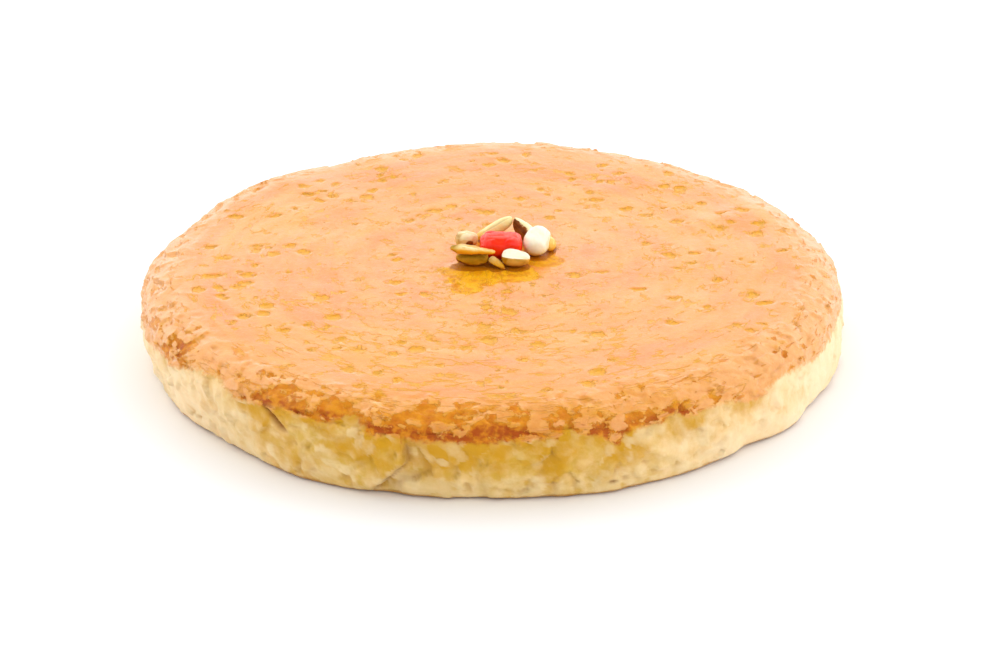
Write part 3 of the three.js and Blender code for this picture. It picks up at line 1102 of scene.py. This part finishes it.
    def _top_net(self) -> tuple[Array, Array, Array, Array]:
        """Lay out the top as a square net whose outer border becomes the circle.

        Returns:
            Its points, their directions and reaches, and the net of their numbers.
        """
        steps = np.linspace(-1.0, 1.0, self.cells + 1)
        across, along = np.meshgrid(steps, steps, indexing="ij")
        a, b = across.ravel(), along.ravel()
        share = np.maximum(np.abs(a), np.abs(b))
        safe_a, safe_b = np.where(a == 0, 1.0, a), np.where(b == 0, 1.0, b)
        angle = np.where(np.abs(a) >= np.abs(b),
                         np.where(a > 0, 0.0, math.pi) + math.pi / 4 * b / safe_a,
                         np.where(b > 0, math.pi / 2, 1.5 * math.pi) - math.pi / 4 * a / safe_b)
        reach = share * (self.outline(angle) - self.shoulder_width)
        points = np.stack([self.top_middle[0] + reach * np.cos(angle),
                           self.top_middle[1] + reach * np.sin(angle),
                           self.top_height(reach, angle)], axis=1)
        return points, angle, reach, np.arange(len(a)).reshape(across.shape)

    def _rings(self, angle: Array) -> list[tuple[Array, ...]]:
        """The rings of points from the shoulder down to the foot.

        Args:
            angle: The direction of each point round a ring.

        Returns:
            For each ring its points, normals, angles, reaches, falls and distances down.
        """
        flat = np.ones(len(angle))
        cos, sin = np.cos(angle), np.sin(angle)
        outline = self.outline(angle)
        edge = np.stack([self.rim_radius * cos, self.rim_radius * sin, 0.0 * angle], axis=1)
        foot = outline + sum_bumps(angle, self.foot_bumps) + 0.7 * Noise(32).fractal(edge, 11.0, 2)
        lift = sum_bumps(angle, self.foot_lifts) + 0.3 * (1.0 + Noise(31).value(edge, 8.0))
        crown = self.shoulder_height + sum_bumps(angle, self.rim_lifts)
        side_top = self.crest - self.shoulder_height
        across_shoulder = math.hypot(self.shoulder_width, self.shoulder_height)
        shoulder_length = 0.5 * math.pi * across_shoulder / math.sqrt(2)
        rings = []

        def add(radius: Array, z: Array, out: float, up: float, t: float, fall: float, down: float) -> None:
            """Add one ring.

            Args:
                radius: Its distance from its middle.
                z: Its height.
                out: How much its normal points outward.
                up: How much its normal points up.
                t: How far up the side its middle is, 1 being the top.
                fall: Its fall, as in Surface.
                down: Its distance down the skin, as in Surface.
            """
            middle_x = self.top_middle[0] * t + self.foot_middle[0] * (1.0 - t)
            points = np.stack([middle_x + radius * cos, self.top_middle[1] + radius * sin, z * flat], axis=1)
            normals = np.stack([out * cos, out * sin, up * flat], axis=1)
            normals /= np.linalg.norm(normals, axis=1)[:, None]
            rings.append((points, normals, angle, radius, fall * flat, down * flat))

        for row in range(1, self.shoulder_rows + 1):
            share = row / self.shoulder_rows
            turn = 0.5 * math.pi * (1.0 - share)
            add(outline - self.shoulder_width * (1.0 - math.cos(turn)), side_top + crown * math.sin(turn),
                self.shoulder_height * math.cos(turn), self.shoulder_width * math.sin(turn),
                1.0, share, share * shoulder_length)
        for row in range(1, self.side_rows + 1):
            t = 1.0 - row / self.side_rows
            radius = foot + (outline - foot) * t + self.bulge * math.sin(math.pi * t)
            z = self.foot_round + lift + (side_top - self.foot_round - lift) * t
            add(radius, z, 1.0, 0.0, t, 1.0, shoulder_length + side_top * (1.0 - t))
        for row in range(1, self.foot_rows + 1):
            turn = 0.5 * math.pi * row / self.foot_rows
            radius = foot - (self.foot_round + 1.2 * lift) * (1.0 - math.cos(turn))
            z = (self.foot_round + lift) * (1.0 - math.sin(turn)) + 0.35 * lift * math.cos(turn)
            add(radius, z, math.cos(turn), -math.sin(turn), 0.0, 1.0,
                shoulder_length + side_top + self.foot_round)
        return rings

    # -- the relief and the fields that the finish reads

    def _relief(self, skin: Surface) -> tuple[Array, dict[str, Array]]:
        """Work out how far each point stands out, and the fields for the finish.

        Args:
            skin: The smooth skin.

        Returns:
            The push along the normal in millimetres, and the named fields.
        """
        place = skin.points
        top = 1.0 - smoothstep(skin.fall, 0.80, 1.0)
        side = 1.0 - top
        calm = smoothstep(skin.reach, *self.calm_reach)
        rim = smoothstep(skin.reach, *(share * self.rim_radius for share in self.rim_shares))
        front = angle_bell(skin.angle, self.front, self.front_half_width)

        waves = sum((wave.height * Noise(wave.seed).value(place, wave.size) for wave in self.top_waves),
                    np.zeros(len(place)))
        push = waves * top * (0.2 + 0.8 * calm)
        push += self._ripples(skin) * top

        plates, gaps = self._plates(skin, front)
        hollow = self._pits(skin, calm) * (1.0 - rim) + gaps * rim
        push -= self.pit_depth * smoothstep(hollow, -0.1, 0.3) * (1.0 - rim)
        push += plates * rim * top

        side_push, pale = self._side_relief(skin, front)
        # Painted shade: the side's colour is darkened where its relief lies low.
        crease = smoothstep(-side_push, 0.2, 1.2)
        push += side * side_push
        fold, slit = self._fold(skin)
        push += fold * side
        holes = sum_patches(skin, self.holes)
        push -= self.hole_depth * np.minimum(holes, 1.0) * side
        nest = self._nest_field(place)
        push += self.nest_ridge * bell(nest, 0.0, 0.7) * (skin.reach < self.middle_reach)
        # The lowest part stays smooth, so that the cake stands flat.
        push *= smoothstep(place[:, 2], -0.5, 5.5)

        low = smoothstep(skin.fall, 0.45, 0.85)
        scorch = low * (0.15 + 0.95 * front**1.5) + 0.3 * sum_patches(skin, self.breaks) - 0.62
        # Painted shadow along the bottom edge, where the cake meets what it stands on.
        foot = self.foot_shadow_height - place[:, 2] + 0.8 * Noise(53).fractal(place, 9.0, 2)
        # The holes get the slit's painted shadow too.
        slit = np.clip(np.maximum(slit, 0.8 * holes), 0.0, 1.0)
        fields = {"crust": self._crust_field(skin), "hollow": hollow, "rim": rim,
                  "scorch": scorch * 2.0, "damp": self._damp_field(skin, front), "pale": pale,
                  "nest": nest, "foot": foot, "crease": crease, "slit": slit,
                  "pool": self._pool_field(place), "front": front}
        return push, fields

    def _ripples(self, skin: Surface) -> Array:
        """Fine wrinkles in the glaze that run round the cake.

        Args:
            skin: The smooth skin.

        Returns:
            Their height at each point.
        """
        drawn = np.stack([0.25 * skin.reach * np.cos(skin.angle) + skin.reach,
                          0.25 * skin.reach * np.sin(skin.angle), 0.0 * skin.reach], axis=1)
        where = smoothstep(Noise(6).value(skin.points, 26.0), -0.1, 0.5) * smoothstep(skin.reach, 38.0, 60.0)
        return self.ripple_height * Noise(5).ridges(drawn, self.ripple_size, 2.5) * where

    def _pits(self, skin: Surface, calm: Array) -> Array:
        """Where the top is pitted.

        Args:
            skin: The smooth skin.
            calm: 0 round the toppings, where pits are fewer, rising to 1.

        Returns:
            A value above 0 inside a pit.
        """
        x, y, z = skin.points.T
        drawn = np.stack([0.74 * x + 0.52 * y, 0.86 * y - 0.44 * x, z], axis=1)
        apart, own = Noise(21).pebbles(Noise(84).bent(drawn, 4.0, 2.0), self.pit_size)
        crowd = 0.40 * Noise(25).value(skin.points, 24.0) + 0.10 * bell(skin.reach, 96.0, 30.0)
        radius = self.pit_radius * smoothstep(own + crowd - 0.4 * (1.0 - calm), 0.25, 1.0)
        return (radius - apart - 0.02) * 4.0

    def _plates(self, skin: Surface, front: Array) -> tuple[Array, Array]:
        """Plates of the browned shoulder, with sunken ragged gaps between them.

        Args:
            skin: The smooth skin.
            front: 1 where the cake is browned most, 0 away from there.

        Returns:
            How far each point stands out, and where the gaps are, above 0 inside a gap.
        """
        wrapped = skin.wrap(self.rim_radius, 1.6)
        bent = Noise(86).bent(wrapped, 5.0, 2.6)
        seam = Noise(23).seams(bent, self.plate_size)
        low = smoothstep(skin.fall, 0.25, 0.95)
        width = (-1.10 + 2.0 * Noise(26).fractal(wrapped, 5.0, 3, 0.65) + (0.4 + 0.8 * front) * low
                 + 0.95 * front + 0.8 * sum_patches(skin, self.breaks))
        gap = (width - seam) * 0.6
        tilts = Noise(23).facets(bent, self.plate_size, self.plate_tilt)
        crumbs, _ = Noise(24).pebbles(skin.points, self.crumb_size)
        sunken = smoothstep(gap, -0.08, 0.35)
        push = tilts - (0.4 + 0.5 * low) * sunken + (0.12 + 0.4 * sunken) * (0.6 - crumbs)
        return push, gap

    def _side_relief(self, skin: Surface, front: Array) -> tuple[Array, Array]:
        """Facets, folds, lumps and shreds of the side.

        Args:
            skin: The smooth skin.
            front: 1 where the cake is browned most, 0 away from there.

        Returns:
            How far each point stands out, and where the coconut shows pale, above 0 there.
        """
        place = skin.points
        bent = place + 3.0 * np.stack([Noise(60 + k).value(place, 12.0) for k in range(3)], axis=1)
        dents = 0.5 * Noise(41).value(place, 18.0)
        facets = 0.8 * Noise(42).facets(bent, self.facet_size, self.facet_slope)
        folds = (0.6 * Noise(43).ridges(bent, 13.0, 1.0) + 0.3 * Noise(47).ridges(bent, 6.5, 1.0)
                 - 0.3 * Noise(48).ridges(bent, 11.0, 8.0) - 0.4)
        apart, own = Noise(44).pebbles(bent, self.lump_size)
        lumps = self.lump_height * smoothstep(0.75 - apart, 0.0, 0.45) * (own > 0.45)
        shreds = 0.10 * Noise(45).fractal(place, 2.4, 2)
        strength = 0.85 - 0.55 * angle_bell(skin.angle, self.smooth_side, self.smooth_half_width)
        pale = (own - 0.60) * 2.0 * smoothstep(0.8 - apart, 0.0, 0.4) - 0.35
        pale += 0.5 * Noise(46).value(place, 14.0) + 1.2 * sum_patches(skin, self.coconut_shows)
        pale += 0.6 * (front * smoothstep(13.0 - place[:, 2], 0.0, 8.0))
        return (dents + facets + folds + lumps + shreds) * strength, pale

    def _fold(self, skin: Surface) -> tuple[Array, Array]:
        """The flap where the lining folded, and the slit to its left.

        Args:
            skin: The smooth skin.

        Returns:
            How far each point stands out, and the painted shadow in the slit and along the fold's edge, from
            0 to 1.
        """
        degrees = (np.degrees(skin.angle) + 180.0) % 360.0 - 180.0
        z = skin.points[:, 2]
        bend = np.clip((self.fold_bend_height - z) / self.fold_bend_drop, 0.0, 1.0)
        past = degrees - self.fold_at + self.fold_lean * bend
        upright = smoothstep(z, 0.4, 3.0) * (1.0 - smoothstep(z, 18.0, 23.0))
        flap = self.fold_rise * smoothstep(past, -10.0, -0.2) * (past < 0)
        flap -= self.fold_dent * (past >= 0) * (1.0 - smoothstep(past, 0.8, 7.0))
        across = degrees - self.slit_at - (self.slit_height - z) * self.slit_lean
        along = smoothstep(z, 16.5, 19.0) * (1.0 - smoothstep(z, 25.5, 27.5))
        slit = bell(across, 0.0, 0.7) * along
        # Painted shadow: dark in the slit and in a thin line along the fold's edge.
        mark = slit + 0.6 * bell(past, 0.4, 0.45) * upright
        return flap * upright - self.slit_depth * slit, mark

    def _crust_field(self, skin: Surface) -> Array:
        """Height above the place where the brown ends, in millimetres."""
        edge = self.edge_height + sum_bumps(skin.angle, self.edge_bumps)
        return np.clip(skin.points[:, 2] - (edge + 1.1 * Noise(51).fractal(skin.points, 7.0, 3)), -9.0, 9.0)

    def _damp_field(self, skin: Surface, front: Array) -> Array:
        """Where syrup has soaked the side, in patches and in a strip below the brown.

        Args:
            skin: The smooth skin.
            front: 1 where the cake is browned most, 0 away from there.

        Returns:
            A value above 0 where it is soaked.
        """
        strip = 1.0 - smoothstep(-self._crust_field(skin), 0.0, 6.0)
        total = (0.5 + 0.9 * front) * Noise(52).fractal(skin.points, 9.0, 3)
        total += (0.3 + 1.1 * front) * strip + 0.25 * front - 0.9
        return total + sum_patches(skin, self.soaks)

    def _pool_field(self, place: Array) -> Array:
        """Where golden syrup lies on the top.

        Args:
            place: Points in millimetres, (n, 3).

        Returns:
            A value above 0 inside it.
        """
        total = np.full(len(place), -1.0)
        for x, y, half_x, half_y in self.pools:
            apart = np.hypot((place[:, 0] - x) / half_x, (place[:, 1] - y) / half_y)
            total = np.maximum(total, np.where(place[:, 2] > self.shoulder_height, 1.0 - apart, -1.0))
        return total

    def _nest_field(self, place: Array) -> Array:
        """Where the cake is wet round the feet of the toppings, with painted shadow there.

        Args:
            place: Points in millimetres, (n, 3).

        Returns:
            A value above 0 there.
        """
        total = np.full(len(place), -1.0)
        reach = np.hypot(place[:, 0] - self.top_middle[0], place[:, 1] - self.top_middle[1])
        near = reach < self.middle_reach
        for node in self.toppings:
            low, high = (corner[:2] for corner in node_box(node))
            middle = (low + high) / 2.0 - self.nest_shift
            half = (high - low) / 2.0 + self.nest_reach
            apart = np.linalg.norm((place[near, :2] - middle) / half, axis=1)
            total[near] = np.maximum(total[near], np.clip(3.0 * (1.0 - apart), -1.0, 1.0))
        return total


# ------------------------------------------------------------------ the toppings


class KernelFace(Enum):
    """What the upward face of a kernel is like."""

    ROUND = "round"
    CUT = "cut"
    CREASED = "creased"


@dataclass(frozen=True)
class SkinPatch:
    """A patch of brown skin left on a kernel.

    Attributes:
        along: Its place along the kernel, from -1 to 1.
        turn: Its direction round the kernel in degrees, 90 being the upward face.
        size: Its radius, in half lengths of the kernel.
    """

    along: float
    turn: float
    size: float


@dataclass
class Kernel:
    """One pistachio kernel, in millimetres and degrees."""

    node: str
    length: float
    width: float
    below: float
    above: float
    taper: float
    bend: float
    heading: float
    slope: float
    roll: float
    green: float
    face: KernelFace = KernelFace.ROUND
    skins: tuple[SkinPatch, ...] = ()
    green_end: float = 0.0
    tan: float = 0.0
    pale: float = 0.0
    blunt: float = 0.7
    cut_from: float = 0.5
    crease_turn: float = 84.0
    crease_width: float = 6.0
    crease_depth: float = 0.4
    # How wide the darker olive band along the crease is, in degrees.
    crease_band_width: float = 8.0
    cut_steepness: float = 2.4
    sides: int = 48
    ring_count: int = 44
    soak_shade_height: float = 1.3
    gilt_shade_height: float = 3.6
    gilt_shade_under: float = 0.0
    rough: float = 1.4

    def build(self, seat: float) -> bpy.types.Object:
        """Make the kernel where its solid is.

        Args:
            seat: The height of the cake under it.

        Returns:
            The mesh object, with the fields that its finish reads.
        """
        seed = sum(ord(letter) for letter in self.node)
        place = (np.arange(self.ring_count) + 1.0) / (self.ring_count + 1.0)
        along = -np.cos(place * math.pi)[:, None] * np.ones((1, self.sides))
        turn = np.ones((self.ring_count, 1)) * (2.0 * math.pi * np.arange(self.sides) / self.sides)
        full = np.sin(place * math.pi)[:, None] ** self.blunt * (1.0 - self.taper * along)
        y = 0.5 * self.width * full * np.cos(turn) + self.bend * (1.0 - along**2)
        local = np.stack([0.5 * self.length * along, y, full * self._section(turn)], axis=-1)
        flat = local.reshape(-1, 3)
        relief = (0.22 * Noise(seed).value(flat, 4.5) + 0.10 * Noise(seed + 1).value(flat, 1.8)
                  + 0.09 * Noise(seed + 2).value(flat * np.array([0.25, 1.0, 1.0]), 1.0))
        relief = self.rough * relief.reshape(y.shape) * np.clip(full, 0.0, 1.0)
        local += np.stack([0.0 * y, np.cos(turn), np.sin(turn)], axis=-1) * relief[..., None]
        # The fibres are read off the raised shape.
        raised = local.reshape(-1, 3)
        fibre = Noise(seed + 3).fractal(raised * np.array([0.14, 1.0, 1.0]), 1.1, 2)
        tips = np.array([[-0.5 * self.length, 0.0, 0.0], [0.5 * self.length, 0.0, 0.0]])

        points = np.concatenate([raised, tips]) @ self._turned().T
        low, high = node_box(self.node)
        points += (low + high) / 2.0 - (points.min(axis=0) + points.max(axis=0)) / 2.0
        fields = self._fields(along.ravel(), turn.ravel())
        above_seat = points[:, 2] - seat
        under = np.concatenate([-np.sin(turn).ravel(), (0.0, 0.0)])
        fields["fibre"] = np.concatenate([np.clip(0.5 + 1.8 * fibre, 0.0, 1.0), (0.5, 0.5)])
        # The dark foot is syrup soaked in and painted contact shade.
        fields["soak"] = 1.0 - above_seat / self.soak_shade_height
        # The golden lower part is syrup glaze and painted warm shade on the underside.
        fields["gilt_and_shade"] = np.maximum(1.0 - above_seat / self.gilt_shade_height,
                                       self.gilt_shade_under * (1.0 + under) - 1.0)
        rings = points[:-2].reshape(local.shape)
        return loft(self.node.replace("kernel", "pistachio"), rings, points[-2:], fields)

    def _section(self, turn: Array) -> Array:
        """The height of the section, flat or creased on top as the face says.

        Args:
            turn: Directions round the kernel, in radians.

        Returns:
            The height at each direction.
        """
        up = np.sin(turn)
        height = np.where(up < 0, self.below, self.above) * up
        if self.face is KernelFace.CUT:
            height = np.where(up > 0, self.above * np.minimum(1.0, self.cut_steepness * up), height)
        if self.face is KernelFace.CREASED:
            away = (turn - math.radians(self.crease_turn)) / math.radians(self.crease_width)
            height = height - self.crease_depth * np.exp(-(away**2))
        return height

    def _turned(self) -> Array:
        """The rotation by roll, then slope, then heading, as a matrix."""
        angles = (math.radians(self.roll), math.radians(self.slope), math.radians(self.heading))
        return np.array(Euler(angles, "XYZ").to_matrix())

    def _fields(self, along: Array, turn: Array) -> dict[str, Array]:
        """The fields that don't depend on where the kernel lies.

        Args:
            along: Places along the kernel, from -1 to 1.
            turn: Directions round it, in radians.

        Returns:
            Each field at the points, with its values at the two tips last.
        """
        up = np.sin(turn)
        cut = (up - self.cut_from) * 2.0 if self.face is KernelFace.CUT else np.full(len(turn), -1.0)
        green = self.green + self.green_end * smoothstep(-along, 0.45, 0.9)
        skin = np.full(len(turn), -1.0)
        for patch in self.skins:
            apart = np.angle(np.exp(1j * (turn - math.radians(patch.turn))))
            skin = np.maximum(skin, 1.0 - np.hypot(along - patch.along, 0.6 * apart) / patch.size)
        crease = angle_bell(turn, self.crease_turn, self.crease_band_width) * (1.0 - along**6)
        crease *= float(self.face is KernelFace.CREASED)
        # Painted highlight and shade: the pale share is highest on the upward side, so a kernel is ivory on
        # top and creamier below.
        fields = {"cut": (cut, -1.0, -1.0), "skin": (skin, -1.0, -1.0), "crease": (crease, 0.0, 0.0),
                  "green": (np.clip(green, 0.0, 1.0), self.green + self.green_end, self.green),
                  "tan": (np.full(len(turn), self.tan), self.tan, self.tan),
                  "pale": (self.pale * np.clip(0.7 + 0.6 * up, 0.0, 1.0), self.pale, self.pale)}
        return {key: np.append(values, ends) for key, (values, *ends) in fields.items()}


@dataclass
class Cherry:
    """The candied cherry: a flattened, wrinkled ball, squarer than an ellipsoid. In millimetres."""

    node: str = "cherry"
    sides: int = 84
    ring_count: int = 52
    squareness: float = 0.74
    relief_room: float = 0.35

    def build(self) -> bpy.types.Object:
        """Make the cherry where its solid is.

        Returns:
            The mesh object.
        """
        low, high = node_box(self.node)
        middle, half = (low + high) / 2.0, (high - low) / 2.0
        polar = math.pi * (np.arange(self.ring_count) + 1.0) / (self.ring_count + 1.0)
        polar = polar[:, None] * np.ones((1, self.sides))
        turn = np.ones((self.ring_count, 1)) * (2.0 * math.pi * np.arange(self.sides) / self.sides)
        out = np.stack([np.sin(polar) * np.cos(turn), np.sin(polar) * np.sin(turn), np.cos(polar)], axis=-1)
        rings = np.sign(out) * np.abs(out) ** self.squareness * (half - self.relief_room)
        flat = out.reshape(-1, 3) * half
        relief = (0.60 * Noise(71).value(flat, 6.5) - 0.45 * Noise(72).ridges(flat, 4.5, 6.0)
                  - 0.25 * Noise(74).ridges(flat, 2.6, 5.0) + 0.15 * Noise(73).value(flat, 2.0))
        rings = rings + out * relief.reshape(polar.shape)[..., None]
        tips = np.array([[0.0, 0.0, half[2] - 0.5], [0.0, 0.0, -half[2] + 0.2]])
        rings[..., 2] = np.clip(rings[..., 2], -half[2], half[2] - 0.1)
        return loft("candied_cherry", rings + middle, tips + middle, {})


KERNELS = (
    Kernel("kernel_front_left_upper", 17.0, 5.4, 2.0, 1.0, 0.12, 0.5, -12.0, 2.0, -8.0, 0.1,
           skins=(SkinPatch(0.35, 265.0, 0.5), SkinPatch(-0.3, 270.0, 0.4)), green_end=0.9,
           tan=0.7, pale=0.4, blunt=0.45, rough=2.0, gilt_shade_under=1.3),
    Kernel("kernel_front_left_lower", 12.2, 6.2, 2.6, 2.1, -0.1, 0.3, -6.0, 0.0, 12.0, 1.0,
           skins=(SkinPatch(-0.75, 250.0, 0.7), SkinPatch(0.8, 250.0, 0.55)), tan=0.6),
    Kernel("kernel_left", 8.6, 7.2, 3.7, 3.0, 0.15, 0.0, 12.0, 4.0, -18.0, 0.05,
           skins=(SkinPatch(0.1, 252.0, 0.5), SkinPatch(0.1, 222.0, 0.36)), green_end=0.5,
           tan=0.45, pale=0.7, gilt_shade_height=2.6, rough=2.4),
    # The skin patches low on the two back kernels also stand for painted shade behind the cherry.
    Kernel("kernel_back_left", 16.0, 5.6, 3.2, 2.2, -0.05, -0.4, 20.0, -23.0, -24.0, 0.1,
           KernelFace.CREASED, (SkinPatch(0.5, 300.0, 0.4),), pale=0.3, crease_turn=152.0),
    Kernel("kernel_back_right", 12.0, 5.4, 4.6, 1.6, -0.2, 0.4, -44.0, 23.0, -34.0, 0.05,
           skins=(SkinPatch(-0.5, 236.0, 0.66), SkinPatch(0.1, 236.0, 0.66)), pale=0.5),
    Kernel("kernel_right", 12.0, 10.2, 4.7, 4.4, 0.04, 0.0, 70.0, -26.0, 0.0, 0.0,
           pale=1.0, soak_shade_height=0.6, gilt_shade_height=1.4, rough=2.4),
    Kernel("kernel_far_right", 9.8, 3.3, 1.8, 2.0, 0.05, -1.4, 96.0, -4.0, 0.0, 0.2),
    Kernel("kernel_front_right", 10.6, 6.0, 4.0, 1.5, 0.2, 0.0, -5.0, 5.0, 18.0, 0.65,
           KernelFace.CUT, (SkinPatch(-0.2, 255.0, 0.3), SkinPatch(0.5, 262.0, 0.25)),
           green_end=0.7, gilt_shade_height=4.4),
    Kernel("kernel_front_sliver", 7.6, 3.0, 1.5, 1.0, 0.34, 0.3, -40.0, 20.0, 20.0, 0.0,
           skins=(SkinPatch(-0.7, 240.0, 0.4),), tan=0.4, pale=0.3),
)


# ------------------------------------------------------------------ the studio


@dataclass
class Studio:
    """The floor, the light and the camera."""

    # The photo's viewpoint: its place in millimetres, its turns in radians and its focal length
    # in pixels of a frame this wide.
    camera_mm: tuple[float, float, float] = (-0.84, -662.3, 318.16)
    pitch: float = 0.451
    yaw: float = 0.0051
    roll: float = -0.0118
    focal_px: float = 1900.0
    frame_width_px: float = 1000.0
    sensor_mm: float = 36.0
    # The sky's strength low down, what its left and right add to that, its strength overhead, and
    # how much of the low part's share is left in the direction where it is dimmest.
    bright: float = 1.52
    beside: float = 0.35
    dim: float = 0.42
    front_share: float = 0.15
    dim_side: tuple[float, float, float] = (-0.34, -0.94, 0.0)
    floor_half_m: float = 6.0
    floor_white: float = 0.93
    lamp_strength: float = 0.6
    lamp_width_deg: float = 92.0
    lamp_tilt_deg: float = -20.0

    def build(self) -> None:
        """Make all of it."""
        self._floor()
        self._sky()
        self._overhead()
        self._camera()
        bpy.context.scene.view_settings.view_transform = "Standard"

    def _floor(self) -> None:
        """A plain white floor."""
        half = self.floor_half_m / MM
        corners = np.array([(-half, -half, 0), (half, -half, 0), (half, half, 0), (-half, half, 0)])
        floor = make_mesh("floor", corners, [(0, 1, 2, 3)])
        floor.data.materials.append(Brush("white_floor").finish(
            Base_Color=(self.floor_white,) * 3, Roughness=0.9, Specular_IOR_Level=0.2))

    def _sky(self) -> None:
        """Soft white light from the sides and the back, dimmer above and in front."""
        world = bpy.data.worlds.new("soft_white")
        world.use_nodes = True
        world.node_tree.nodes.clear()
        graph = Graph(world.node_tree)
        direction = graph.add("ShaderNodeTexCoord").outputs["Generated"]
        across, _, up = graph.add("ShaderNodeSeparateXYZ", {0: direction}).outputs
        ahead = graph.vector("DOT_PRODUCT", direction, self.dim_side, output="Value")
        behind = graph.rise(ahead, 0.95, 0.28, self.front_share, 1.0)
        share = graph.times(graph.rise(up, 0.95, 0.76), behind)
        extra = graph.times(graph.times(graph.times(across, across), share), self.beside)
        strength = graph.math("ADD", graph.rise(share, 0.0, 1.0, self.dim, self.bright), extra)
        # The camera itself sees plain white.
        seen = graph.add("ShaderNodeLightPath").outputs["Is Camera Ray"]
        strength = graph.most(strength, seen)
        background = graph.add("ShaderNodeBackground", {"Color": (1.0, 1.0, 1.0), "Strength": strength})
        graph.add("ShaderNodeOutputWorld", {"Surface": background.outputs[0]})
        bpy.context.scene.world = world

    def _overhead(self) -> None:
        """A very soft overhead light that lifts the whole scene without a highlight of its own."""
        data = bpy.data.lights.new("overhead", "SUN")
        data.energy = self.lamp_strength
        data.angle = math.radians(self.lamp_width_deg)
        lamp = bpy.data.objects.new("overhead", data)
        lamp.rotation_euler = (math.radians(self.lamp_tilt_deg), 0.0, 0.0)
        lamp.visible_glossy = False
        bpy.context.scene.collection.objects.link(lamp)

    def _camera(self) -> None:
        """The photo's viewpoint."""
        data = bpy.data.cameras.new("camera")
        data.sensor_width = self.sensor_mm
        data.lens = self.focal_px / self.frame_width_px * self.sensor_mm
        data.clip_end = 50.0
        camera = bpy.data.objects.new("camera", data)
        forward = Vector((math.sin(self.yaw) * math.cos(self.pitch),
                          math.cos(self.yaw) * math.cos(self.pitch), -math.sin(self.pitch)))
        right = Vector((math.cos(self.yaw), -math.sin(self.yaw), 0.0))
        turned_right = math.cos(self.roll) * right + math.sin(self.roll) * right.cross(forward)
        turned_up = turned_right.cross(forward)
        axes = Matrix((turned_right, turned_up, -forward)).transposed()
        camera.matrix_world = Matrix.Translation(Vector(self.camera_mm) * MM) @ axes.to_4x4()
        bpy.context.scene.collection.objects.link(camera)
        bpy.context.scene.camera = camera


# ------------------------------------------------------------------ the whole


def settle(piece: bpy.types.Object, material: bpy.types.Material, node: str) -> None:
    """Dress a piece and say what it stands for.

    Args:
        piece: The finished piece.
        material: Its finish.
        node: The solid that it replaces.
    """
    piece.data.materials.append(material)
    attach(piece, BODY)
    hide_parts(node)
    LOG.info("%s stands for %s: %d faces", piece.name, node, len(piece.data.polygons))


def main() -> None:
    """Build the studio, then the cake and its toppings."""
    logging.basicConfig(level=logging.INFO, format="%(name)s: %(message)s")
    Studio().build()
    effects = Effects()

    cherry = Cherry()
    cake = Cake(toppings=(cherry.node, *(kernel.node for kernel in KERNELS)))
    settle(cake.build(), CakeFinish().material(effects), "cake")
    settle(cherry.build(), CherryFinish().material(effects), cherry.node)
    kernel_finish = KernelFinish().material(effects)
    for kernel in KERNELS:
        settle(kernel.build(cake.seat), kernel_finish, kernel.node)


if __name__ == "__main__":
    main()
